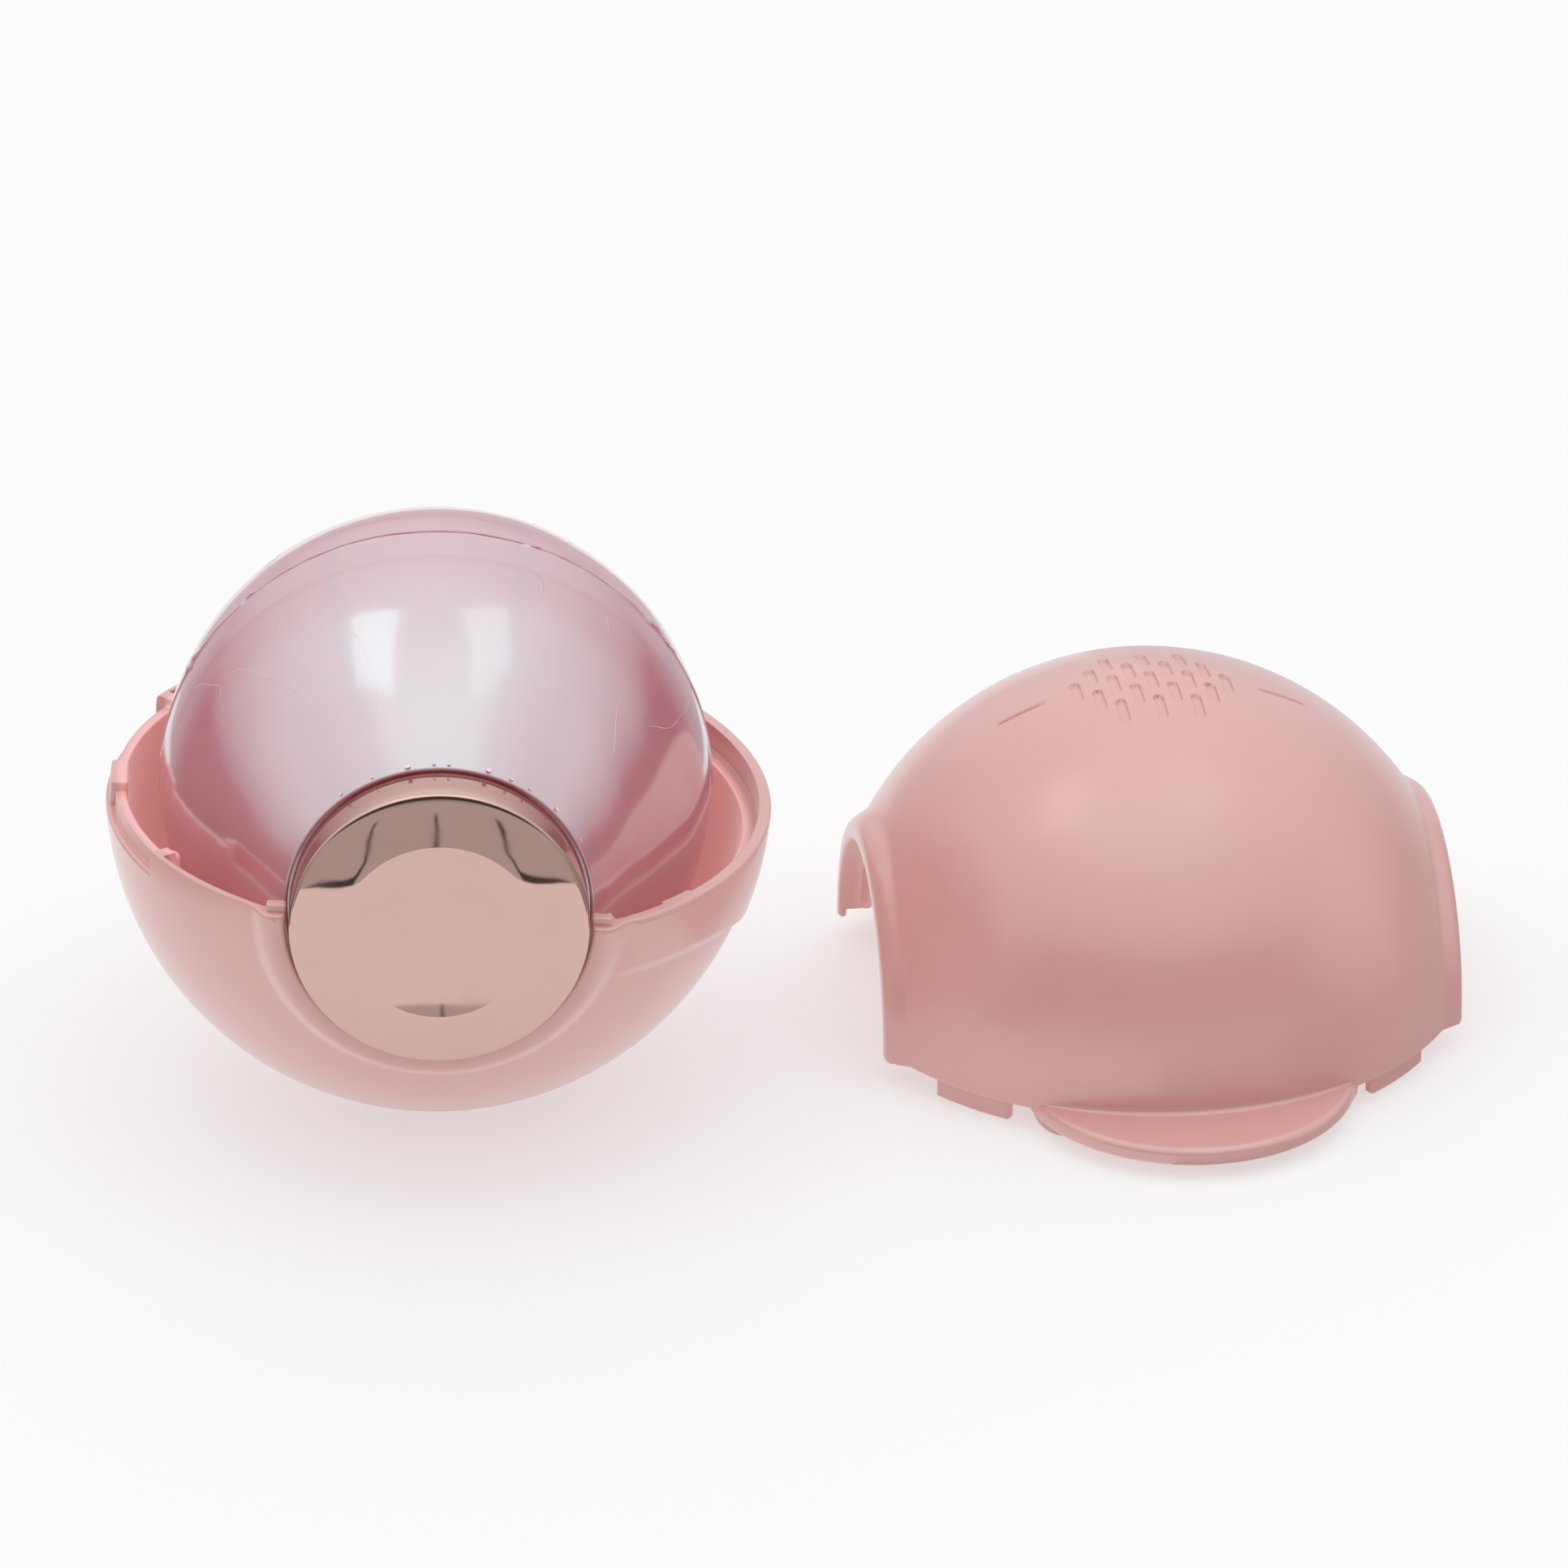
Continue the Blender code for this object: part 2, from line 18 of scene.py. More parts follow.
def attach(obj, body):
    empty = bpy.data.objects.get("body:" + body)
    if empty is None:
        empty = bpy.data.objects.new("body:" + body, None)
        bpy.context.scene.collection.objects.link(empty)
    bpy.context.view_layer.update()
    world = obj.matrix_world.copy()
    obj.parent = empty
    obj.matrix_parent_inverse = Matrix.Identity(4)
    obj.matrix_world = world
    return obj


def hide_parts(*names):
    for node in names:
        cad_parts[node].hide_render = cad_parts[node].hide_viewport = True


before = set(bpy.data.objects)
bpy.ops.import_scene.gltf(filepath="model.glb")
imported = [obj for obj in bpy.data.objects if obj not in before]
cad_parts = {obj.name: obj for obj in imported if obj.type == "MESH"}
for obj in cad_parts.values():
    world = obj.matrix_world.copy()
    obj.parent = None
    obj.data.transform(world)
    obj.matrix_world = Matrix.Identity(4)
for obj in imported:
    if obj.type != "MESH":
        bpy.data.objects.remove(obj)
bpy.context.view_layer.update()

print("nodes:", ", ".join(sorted(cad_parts)))

# %% [markdown]
# ## The maker's sizes
#
# A shape that is worked out from the same sizes as the solid lands on it by itself, so nothing has
# to be fitted by eye. All sizes here are millimetres, and angles are degrees. The pieces are drawn
# about the middle of the ball, and two matrices set them down: the bowl leans by four degrees, and
# the cover lies beside it, turned a little more than a quarter turn.

# %% The maker's sizes
MM = 0.001
SHELL_RADIUS = 37.5
SHELL_WALL = 2.3
INNER_RADIUS = SHELL_RADIUS - SHELL_WALL
BALL_RADIUS = 31.3
CORE_RADIUS = 28.0
CAP_RADIUS = 16.6
BORE_RADIUS = 17.0
COLLAR_WIDTH = 3.6
COLLAR_RISE = 2.55
COLLAR_FOOT = BORE_RADIUS + COLLAR_WIDTH
COLLAR_FACE = math.sqrt(SHELL_RADIUS**2 - COLLAR_FOOT**2) + COLLAR_RISE
POCKET_FLOOR = COLLAR_FACE - 2.7
POCKET_RADIUS = 18.25
GEL_TOP = POCKET_FLOOR - 0.65
CAP_EDGE = COLLAR_FACE + 2.1
FOOT_RADIUS = 7.0
BALL_HEIGHT = math.sqrt(SHELL_RADIUS**2 - FOOT_RADIUS**2)
TONGUE_WIDTH = 37.0
TONGUE_HALF = math.degrees(math.asin(0.5 * TONGUE_WIDTH / SHELL_RADIUS))
COLLAR_START = 53.6
BOWL_LEAN, COVER_TURN = 4.0, 95.6
COVER_AT = (82.75, 15.3, 2.91)

ball_place = Matrix.Translation((0.0, 0.0, BALL_HEIGHT))
bowl_place = ball_place @ Matrix.Rotation(math.radians(BOWL_LEAN), 4, "Y")
cover_place = Matrix.Translation(COVER_AT) @ Matrix.Rotation(math.radians(COVER_TURN), 4, "Z")
print(f"collar face {COLLAR_FACE:.2f} mm, ball centre {BALL_HEIGHT:.2f} mm above the table")

# %% [markdown]
# ## Tools for drawing a surface
#
# Blender can model these shapes by hand with loops and modifiers, but a formula keeps each edge at
# its real size and can be read again later. Every surface below is a grid of points: one direction
# runs round a closed loop, the other from loop to loop. numpy works out the whole grid at once, and
# the faces follow from the grid's two counts.

# %% Tools for drawing a surface
WELD = 2e-6


def smooth(value):
    """0 below 0, 1 above 1, and an even ramp between: three squares of the value less two cubes."""
    value = np.clip(value, 0.0, 1.0)
    return value * value * (3.0 - 2.0 * value)


def window(value, low, high, ramp):
    """1 between low and high and 0 outside, with a ramp centred on each end."""
    return smooth((value - low) / ramp + 0.5) * smooth((high - value) / ramp + 0.5)


def spline(points, count):
    """A flowing line that starts and ends on the outer points: each place on it is the average of
    four neighbours, weighted as a uniform cubic B-spline weighs them."""
    points = np.asarray(points, float)
    points = np.concatenate([points[[0, 0]], points, points[[-1, -1]]])
    along = np.linspace(0.0, len(points) - 3.0, count)
    first = np.minimum(along.astype(int), len(points) - 4)
    t = (along - first)[:, None]
    weights = ((1 - t) ** 3, 3 * t**3 - 6 * t**2 + 4, -3 * t**3 + 3 * t**2 + 3 * t + 1, t**3)
    return sum(weight * points[first + k] for k, weight in enumerate(weights)) / 6.0


def turned(profile, steps):
    """A profile of (distance from the cap axis, place along it) turned about the Y axis: the
    distance times the cosine and the sine of the angle gives x and z."""
    angle = np.radians(360.0 * np.arange(steps) / steps)
    rho = profile[:, 0:1]
    along = np.broadcast_to(profile[:, 1:2], (len(profile), steps))
    return np.stack([rho * np.cos(angle), along, rho * np.sin(angle)], axis=-1)


def patch(points, capped=False):
    """A stack of closed loops as (points, quads, caps): each quad joins two neighbours in one loop
    to the same two in the next, and capped fills the first and the last loop."""
    rows, columns, _ = points.shape
    across = np.arange(columns)
    after = (across + 1) % columns
    along = np.arange(rows - 1)[:, None] * columns
    corners = (along + across, along + after, along + columns + after, along + columns + across)
    quads = np.stack(corners, axis=-1).reshape(-1, 4)
    caps = [across[::-1], (rows - 1) * columns + across] if capped else []
    return points.reshape(-1, 3), quads, caps


def make_piece(name, patches, place, body, nodes, sharp=50.0):
    """One object from one or more patches in millimetres: set down in place, welded where points
    meet within two thousandths of a millimetre, and with its faces turned outward. Faces that meet
    at more than `sharp` degrees keep a crisp edge between them."""
    starts = np.cumsum([0] + [len(points) for points, _, _ in patches[:-1]])
    points = np.concatenate([points for points, _, _ in patches])
    spin = np.array(place)
    points = (points @ spin[:3, :3].T + spin[:3, 3]) * MM
    faces = np.concatenate([quads + at for at, (_, quads, _) in zip(starts, patches)]).tolist()
    faces += [(cap + at).tolist() for at, (_, _, caps) in zip(starts, patches) for cap in caps]
    mesh = bpy.data.meshes.new(name)
    mesh.from_pydata(points.tolist(), [], faces)
    bm = bmesh.new()
    bm.from_mesh(mesh)
    bmesh.ops.remove_doubles(bm, verts=bm.verts, dist=WELD)
    bmesh.ops.recalc_face_normals(bm, faces=bm.faces)
    bm.to_mesh(mesh)
    bm.free()
    mesh.shade_smooth()
    mesh.set_sharp_from_angle(angle=math.radians(sharp))
    piece = bpy.data.objects.new(name, mesh)
    bpy.context.scene.collection.objects.link(piece)
    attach(piece, body)
    if nodes:
        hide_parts(*nodes)
    mesh.calc_loop_triangles()
    print(f"{name}: {len(mesh.loop_triangles)} triangles")
    return piece


print("halfway up the smooth ramp:", smooth(0.5))

# %% [markdown]
# Moulded plastic has no knife edge: a tool cutter leaves a small radius in every corner. Two helpers
# give it. One rounds a corner of a path, the other draws a whole block with rounded edges, which
# serves for each tab, rib and lip.

# %% Rounded corners and rounded blocks
def corner(before, at, after, reach):
    """Five points round a corner: a curve that is pulled to the corner by half, and that starts and
    ends `reach` away from it, or 45% of the way to its neighbour if that is nearer."""
    ends = []
    for other in (before, after):
        side = other - at
        length = np.linalg.norm(side, axis=-1, keepdims=True)
        ends.append(at + side / np.maximum(length, 1e-9) * np.minimum(reach, 0.45 * length))
    t = np.linspace(0.0, 1.0, 5)[None, :, None]
    first, last = ends[0][:, None], ends[1][:, None]
    return (1 - t) ** 2 * first + 2 * t * (1 - t) * at[:, None] + t**2 * last


def rounded_block(low, high, edge, tip, steps=2):
    """A block between two corners as a stack of loops along its third direction. Each loop is a
    rectangle whose corners are quarter circles of radius edge, and the loops of both ends draw in
    by `tip` along a quarter circle."""
    rows, points = 6, 7
    low, high = np.asarray(low, float), np.asarray(high, float)
    middle, half = 0.5 * (low + high), 0.5 * (high - low)
    turn = np.linspace(0.0, 0.5 * np.pi, rows)
    draw = np.concatenate([[1.6 * tip], tip * (1 - np.sin(turn)), np.zeros(steps - 1)])
    level = np.concatenate([[0.0], tip * (1 - np.cos(turn)), np.zeros(steps - 1)])
    stretch = half[2] - tip
    level[rows + 1 :] = tip + np.arange(1, steps) * stretch / steps
    draw = np.concatenate([draw, [0.0], draw[::-1]])
    level = np.concatenate([low[2] + level, [middle[2]], high[2] - level[::-1]])
    quarter = np.linspace(0.0, 0.5 * np.pi, points)
    angle = np.concatenate([quarter + k * 0.5 * np.pi for k in range(4)])
    sign_a = np.repeat([1.0, -1.0, -1.0, 1.0], points)
    sign_b = np.repeat([1.0, 1.0, -1.0, -1.0], points)
    radius = np.maximum(edge - draw, 0.02)[:, None]
    reach = (half[:2] - draw[:, None])[:, :, None] - radius[:, None]
    a = middle[0] + sign_a * reach[:, 0] + radius * np.cos(angle)
    b = middle[1] + sign_b * reach[:, 1] + radius * np.sin(angle)
    return np.stack([a, b, np.broadcast_to(level[:, None], a.shape)], axis=-1)


def bent_bar(radii, levels, azimuths, edge=0.28, tip=0.4, step=2.0):
    """A rounded bar that follows the rim: its two cross directions are the distance from the ball's
    vertical axis and the height, and its length is bent round at the azimuths given in degrees."""
    middle = 0.5 * (radii[0] + radii[1])
    start, end = (math.radians(a) * middle for a in sorted(azimuths))
    steps = max(2, int((end - start) / step))
    block = rounded_block((radii[0], levels[0], start), (radii[1], levels[1], end), edge, tip, steps)
    angle = block[..., 2] / middle
    bar = np.stack([block[..., 0] * np.cos(angle), block[..., 0] * np.sin(angle), block[..., 1]], -1)
    return patch(bar, capped=True)


print("a rounded block has", rounded_block((0, 0, 0), (3, 3, 3), 1.0, 0.5).shape[0], "loops")

# %% [markdown]
# ## The camera
#
# The camera was fitted to the photograph's round outlines: a long lens, about a metre away, that
# looks down by 27 degrees. It is placed from those numbers and never touched again.

# %% The camera
PHOTO_PIXELS = 1932.0
LENS_PIXELS = 11118.316
SENSOR_WIDTH = 36.0
LOOK_DOWN = 0.4721482091
LOOK_ASIDE = 0.045078
CAMERA_AT = Vector((-1.6504, -914.4970, 503.0693))
camera_data = bpy.data.cameras.new("camera")
camera_data.sensor_fit = "HORIZONTAL"
camera_data.sensor_width = SENSOR_WIDTH
camera_data.lens = SENSOR_WIDTH * LENS_PIXELS / PHOTO_PIXELS
camera = bpy.data.objects.new("camera", camera_data)
bpy.context.scene.collection.objects.link(camera)
camera.location = CAMERA_AT * MM
camera.rotation_euler = (0.5 * math.pi - LOOK_DOWN, 0.0, -LOOK_ASIDE)
camera_data.clip_start, camera_data.clip_end = 0.05, 50.0
bpy.context.scene.camera = camera
bpy.context.scene.view_settings.view_transform = "Standard"
print(f"lens {camera_data.lens:.1f} mm")

# %% [markdown]
# ## Writing a material as a recipe
#
# A procedural material is a small network of nodes. Wiring them one by one hides the idea, so a
# Signal stands for one output socket and understands plus, minus, times and divide: an expression
# adds its Math nodes by itself. A Recipe is one material, and its `node` method adds any other node.

# %% Signals and recipes
class Signal:
    """One output socket. Arithmetic on it adds Math nodes to its recipe."""

    def __init__(self, recipe, socket):
        self.recipe = recipe
        self.socket = socket

    def _math(self, operation, first, second):
        return self.recipe.node("ShaderNodeMath", {"operation": operation}, {0: first, 1: second})

    def __add__(self, other):
        return self._math("ADD", self, other)

    def __sub__(self, other):
        return self._math("SUBTRACT", self, other)

    def __mul__(self, other):
        return self._math("MULTIPLY", self, other)

    def __truediv__(self, other):
        return self._math("DIVIDE", self, other)

    def __rsub__(self, other):
        return self._math("SUBTRACT", other, self)

    def __pow__(self, other):
        return self._math("POWER", self, other)

    __radd__ = __add__
    __rmul__ = __mul__


class Recipe:
    """The nodes of one material or of the world."""

    def __init__(self, tree):
        self.tree = tree

    def node(self, kind, settings=None, sockets=None, out=0):
        """Adds a node: its settings first, then the values or links of its sockets."""
        node = self.tree.nodes.new(kind)
        for key, value in (settings or {}).items():
            setattr(node, key, value)
        for key, value in (sockets or {}).items():
            self.feed(node.inputs[key], value)
        return Signal(self, node.outputs[out])

    def feed(self, socket, value):
        """Links a Signal to a socket, or sets the socket's own value."""
        if isinstance(value, Signal):
            self.tree.links.new(value.socket, socket)
        else:
            socket.default_value = value

    def ramp(self, value, low, high, course="SMOOTHSTEP"):
        """0 at low, 1 at high, and a smooth step between, or a straight line."""
        settings = {"interpolation_type": course}
        return self.node("ShaderNodeMapRange", settings, {"Value": value, "From Min": low, "From Max": high})

    def blend(self, mask, first, second):
        """A colour between two colours, as far along as the mask says."""
        settings = {"data_type": "RGBA"}
        first = first if isinstance(first, Signal) else (*first, 1.0)
        second = second if isinstance(second, Signal) else (*second, 1.0)
        return self.node("ShaderNodeMix", settings, {0: mask, 6: first, 7: second}, out=2)


class Finish(Recipe):
    """A material with one Principled shader. Patterns read the object's own coordinates."""

    def __init__(self, name, **constants):
        self.material = bpy.data.materials.new(name)
        self.material.use_nodes = True
        super().__init__(self.material.node_tree)
        self.shader = self.tree.nodes["Principled BSDF"]
        self.place = self.node("ShaderNodeTexCoord", out="Object")
        self.set(constants)

    def set(self, sockets):
        """Gives the shader's sockets their values or links."""
        for key, value in sockets.items():
            self.feed(self.shader.inputs[key], value)

    def noise(self, scale, detail=3.0, place=None):
        """Soft random clouds, `scale` of them to the metre, from 0 to 1."""
        sockets = {"Vector": place or self.place, "Scale": scale, "Detail": detail}
        return self.node("ShaderNodeTexNoise", {}, sockets)

    def bump(self, height, millimetres):
        """Small relief: the height from 0 to 1 stands for that many millimetres."""
        sockets = {"Height": height, "Distance": millimetres * MM, "Strength": 1.0}
        return self.node("ShaderNodeBump", {}, sockets)


print("recipes ready")

# %% [markdown]
# ## The studio
#
# The mirror-like caps tell how the photograph was lit: a broad pale ceiling, two soft boxes side by
# side over the ball, a small white table that throws light back up, and a dim room beyond it. The
# world carries the ceiling and the room as gradients of the ray's own direction. The table glows a
# little, as a lit sheet of paper would, so that it stays white under the objects and keeps their
# shadow. A floor of the same white runs on to the horizon for the camera, but stays out of the
# reflections, where the room is seen instead: thin dark outlines of a stand and of two frames show
# in the front cap. Cycles adds a lamp's light to the world behind it, so each soft box carries only
# what it has over the ceiling.

# %% The table and the floor beyond it
def flat_stage(name, corners, faces):
    """A level sheet of the stage from corners in metres."""
    mesh = bpy.data.meshes.new(name)
    mesh.from_pydata([(x, y, 0.0) for x, y in corners], [], faces)
    sheet = bpy.data.objects.new(name, mesh)
    bpy.context.scene.collection.objects.link(sheet)
    return sheet


near_edges = [(-0.095, -0.153), (0.082, -0.153), (0.082, 0.450), (-0.095, 0.450)]
far_edges = [(-12.0, -12.0), (12.0, -12.0), (12.0, 12.0), (-12.0, 12.0)]
table = flat_stage("table", near_edges, [(0, 1, 2, 3)])
between = [(k, (k + 1) % 4, 4 + (k + 1) % 4, 4 + k) for k in range(4)]
floor = flat_stage("floor", far_edges + near_edges, between)
floor.visible_glossy = False
table_finish = Finish("table_white", Roughness=0.9)
table_cloud = table_finish.noise(0.8)
table_finish.set({
    "Base Color": table_finish.blend(table_cloud, (0.44, 0.44, 0.44), (0.46, 0.46, 0.46)),
    "Specular IOR Level": 0.1,
    "Emission Color": (1.0, 1.0, 1.0, 1.0),
    "Emission Strength": 0.52,
})
for sheet in (table, floor):
    sheet.data.materials.append(table_finish.material)
print("table", [round(1000 * size) for size in table.dimensions[:2]], "mm")

# %% [markdown]
# The ceiling is brightest overhead and fades towards the horizon, a little sooner at the front and
# at the back. A photographed room could be wrapped round the scene instead, but a ramp of the ray's
# climb says the same in a few nodes and can be tuned.

# %% The ceiling
CEILING_WHITE, OVERHEAD_WHITE = (1.30, 1.30, 1.31), (1.80, 1.79, 1.80)
world = bpy.data.worlds.new("studio")
bpy.context.scene.world = world
world.use_nodes = True
studio = Recipe(world.node_tree)
ray = studio.node("ShaderNodeTexCoord", out="Generated")
ray_axes = studio.node("ShaderNodeSeparateXYZ", {}, {0: ray})
ray_x = Signal(studio, ray_axes.socket.node.outputs["X"])
ray_y = Signal(studio, ray_axes.socket.node.outputs["Y"])
ray_z = Signal(studio, ray_axes.socket.node.outputs["Z"])
towards_front = studio.ramp(ray_y * -1.0, 0.0, 1.0, "LINEAR")
towards_back = studio.ramp(ray_y, 0.05, 0.60)
at_sides = studio.ramp(ray_x * ray_x, 0.60, 0.90) * (1.0 - studio.ramp(ray_y, 0.00, 0.22))
climb = ray_z - towards_front * 0.30 - towards_back * 0.12 - ray_x * 0.04 + at_sides * 0.20 + 0.02
ceiling = studio.ramp(climb, 0.0, 1.0, "LINEAR") ** 0.62
print("the ceiling takes", len(world.node_tree.nodes), "nodes")

# %% [markdown]
# Below the ceiling the room is dim, paler low at the front and at the far wall. The front cap shows
# dark outlines there: the bent edges of two frames with their feet, and a slim stand between them.
# The room behind the camera is nearly black, from just above the horizon to the ceiling.

# %% The dim room
ROOM_DARK, ROOM_LIT, FAR_WALL = (0.13, 0.125, 0.125), (0.56, 0.55, 0.55), (0.62, 0.62, 0.64)
OUTLINE_DARK, BEHIND_DARK = (0.06, 0.055, 0.055), (0.07, 0.065, 0.065)
low = 1.0 - studio.ramp(ray_z, 0.03, 0.16)
room = studio.ramp(ray_y * -1.0, 0.50, 0.90) * low
wall = studio.ramp(ray_y, 0.55, 0.95)
dim = studio.blend(room, ROOM_DARK, ROOM_LIT)
dim = studio.blend(wall, dim, FAR_WALL)
wobble = studio.node("ShaderNodeTexNoise", {}, {"Vector": ray, "Scale": 14.0, "Detail": 1.0})
aside = ray_x * ray_x + wobble * 0.010 - 0.005
frame_side = studio.ramp(aside, 0.0335, 0.0360) * (1.0 - studio.ramp(aside, 0.0385, 0.0410))
frame_foot = studio.ramp(aside, 0.0360, 0.0385) * (1.0 - studio.ramp(ray_z, -0.312, -0.300))
stand = 1.0 - studio.ramp(ray_x * ray_x, 0.00001, 0.00004)
in_front = studio.ramp(ray_y * -1.0, 0.78, 0.84) * (1.0 - studio.ramp(ray_z, -0.10, -0.05))
dim = studio.blend((frame_side + frame_foot + stand) * in_front, dim, OUTLINE_DARK)
around_us = studio.blend(ceiling, dim, CEILING_WHITE)
behind_camera = studio.ramp(ray_y * -1.0, 0.40, 0.75) * studio.ramp(ray_z, 0.11, 0.14)
behind_camera = behind_camera * (1.0 - studio.ramp(ray_z, 0.40, 0.62))
overhead = studio.ramp(ray_z, 0.84, 0.99) * studio.ramp(ray_y * -1.0, -0.15, 0.20)
around_us = studio.blend(overhead * 0.5, around_us, OVERHEAD_WHITE)
around_us = studio.blend(behind_camera, around_us, BEHIND_DARK)
background = world.node_tree.nodes["Background"]
studio.feed(background.inputs["Color"], around_us)
studio.feed(background.inputs["Strength"], 1.0)
print("the whole room takes", len(world.node_tree.nodes), "nodes")

# %% The two soft boxes
def soft_box(name, towards, splay, radiance):
    """A rectangle of light that faces the ball from one direction. Its power is its radiance times
    its area times pi."""
    distance, width, length = 0.80, 0.21, 0.29
    light = bpy.data.lights.new(name, "AREA")
    light.shape = "RECTANGLE"
    light.size, light.size_y = width, length
    light.energy = radiance * math.pi * width * length
    light.color = (1.0, 0.82, 0.84)
    lamp = bpy.data.objects.new(name, light)
    bpy.context.scene.collection.objects.link(lamp)
    back = Vector(towards).normalized()
    lamp.location = Vector((0.0, 0.0, BALL_HEIGHT * MM)) + back * distance
    long_side = Vector((splay, 1.0, 0.0))
    long_side = (long_side - back * long_side.dot(back)).normalized()
    short_side = long_side.cross(back)
    lamp.rotation_euler = Matrix((short_side, long_side, back)).transposed().to_euler()
    return lamp


soft_box("soft_box_left", (-0.35, 0.10, 0.93), 0.30, 0.78)
soft_box("soft_box_right", (0.33, 0.10, 0.94), -0.34, 0.46)
print("two soft boxes over the ball")

# %% [markdown]
# ## The shells
#
# Bowl and cover are the two halves of a round case: a wall 2.3 mm thick, with a raised collar round
# each end bore. A sphere with a Solidify would give the wall, but not the rim, which is cut in
# steps: a rebate inside, a recess for the tongue, and stops. So the wall is drawn as a stack of
# loops from the front bore to the rear one. Each loop runs over the outside, across one rim, back
# along the inside and across the other rim, and two levels and a step say how each rim is cut there.

# %% The outline of the wall
def wall_outline(azimuths):
    """Outer and inner (distance from the cap axis, place along it) at each loop. Between the collars
    both lie on balls, at the same azimuths. A flowing line carries the outside over each collar,
    while the inside goes round the pocket behind it and meets the outside at the bore."""
    ball = np.stack([np.cos(np.radians(azimuths)), np.sin(np.radians(azimuths))], -1)
    steps = 40
    edge = 0.12 * COLLAR_WIDTH
    last = math.radians(azimuths[-1])
    foot = math.atan2(COLLAR_FACE - COLLAR_RISE, COLLAR_FOOT)
    lead = (last, 0.4 * last + 0.6 * foot)
    collar = [(SHELL_RADIUS * math.cos(a), SHELL_RADIUS * math.sin(a)) for a in lead]
    collar += [
        (COLLAR_FOOT, COLLAR_FACE - COLLAR_RISE),
        (BORE_RADIUS + 0.85 * COLLAR_WIDTH, COLLAR_FACE - 0.52 * COLLAR_RISE),
        (BORE_RADIUS + 0.66 * COLLAR_WIDTH, COLLAR_FACE - 0.14 * COLLAR_RISE),
        (BORE_RADIUS + 0.46 * COLLAR_WIDTH, COLLAR_FACE),
        (BORE_RADIUS + 0.25 * COLLAR_WIDTH, COLLAR_FACE),
        (BORE_RADIUS + 0.6 * edge, COLLAR_FACE),
        (BORE_RADIUS, COLLAR_FACE - 0.6 * edge),
        (BORE_RADIUS, COLLAR_FACE - 2.0 * edge),
        (BORE_RADIUS, POCKET_FLOOR),
    ]
    outer_end = spline(collar, steps)[1:]
    share = np.linspace(0.0, 1.0, steps + 1)[1:steps]
    start = (INNER_RADIUS * math.cos(last), INNER_RADIUS * math.sin(last))
    neck = (POCKET_RADIUS, math.sqrt(INNER_RADIUS**2 - POCKET_RADIUS**2))
    turns = np.array([start, neck, (POCKET_RADIUS, POCKET_FLOOR), (BORE_RADIUS, POCKET_FLOOR)])
    inner_end = np.stack([np.interp(share, (0.0, 0.45, 0.7, 1.0), turns[:, k]) for k in (0, 1)], -1)
    inner_end[-1] = outer_end[-1]
    flip = np.array([1.0, -1.0])
    outer = np.concatenate([outer_end[::-1] * flip, SHELL_RADIUS * ball, outer_end])
    inner = np.concatenate([inner_end[::-1] * flip, INNER_RADIUS * ball, inner_end])
    return outer, inner


def close_stations(step, marks):
    """Azimuths between the two collars, a step apart, with a close row of extra ones round each mark."""
    near = np.linspace(-0.55, 0.55, 9)
    even = np.arange(-COLLAR_START, COLLAR_START, step)
    places = np.concatenate([even, [COLLAR_START], *[mark + near for mark in marks]])
    places = np.unique(np.round(places, 3))
    return places[np.abs(places) <= COLLAR_START]


print("the collars start at", COLLAR_START, "degrees")

# %% [markdown]
# A rim is a path across the wall from the outside to the inside. It has four corners: the outer edge
# at the first level, the step at the first level, the step at the second level, and the inner edge.
# Where both levels are the same the step vanishes and a plain flat rim is left.

# %% A rim, and the loops of the wall
RIM_EDGE, STEP_EDGE = 0.42, 0.16
SEAT_DEPTH = 8.2


def rim_edge(outer, inner):
    """The reach of a rim's round edge: less where the wall is too thin for it."""
    return np.minimum(RIM_EDGE, 0.4 * np.hypot(*(outer - inner).T))


def swept(outline, angle):
    """Points on the circles about the cap axis through the outline: the distance times the cosine is
    x, and times the sine is the depth below the rim."""
    rho = outline[:, 0:1]
    along = np.broadcast_to(outline[:, 1:2], angle.shape)
    return np.stack([rho * np.cos(angle), along, rho * np.sin(angle)], axis=-1)


def rim_path(outer, inner, side, first_level, second_level, step_radius, swell):
    """The path across one rim, from the outside in, at every loop, with each corner rounded."""
    edge = rim_edge(outer, inner)[:, None]

    def at_depth(outline, depth):
        angle = np.arcsin(np.clip(depth[:, None] / outline[:, 0:1], 0.0, 1.0))
        return swept(outline, angle if side > 0 else np.pi - angle)[:, 0]

    top = swell(at_depth(outer, first_level))
    below = swell(at_depth(outer, first_level + 3.0 * edge[:, 0]))
    bottom = at_depth(inner, second_level)
    under = at_depth(inner, second_level + 3.0 * edge[:, 0])
    reach_out = np.hypot(top[:, 0], top[:, 1])
    reach_in = np.hypot(bottom[:, 0], bottom[:, 1])
    share = np.clip((reach_out - step_radius) / np.maximum(reach_out - reach_in, 1e-6), 0.06, 0.94)
    step_top = top + share[:, None] * (bottom - top)
    step_low = step_top.copy()
    step_top[:, 2], step_low[:, 2] = first_level, second_level
    corners = (below, top, step_top, step_low, bottom, under)
    reaches = (edge, STEP_EDGE, STEP_EDGE, 0.6 * edge)
    rounded = [corner(*corners[k : k + 3], reaches[k]) for k in range(4)]
    path = [rounded[0]]
    for following in rounded[1:]:
        start, end = path[-1][:, -1:], following[:, :1]
        path += [start + 0.07 * (end - start), start + 0.93 * (end - start), following]
    return np.concatenate(path, axis=1)


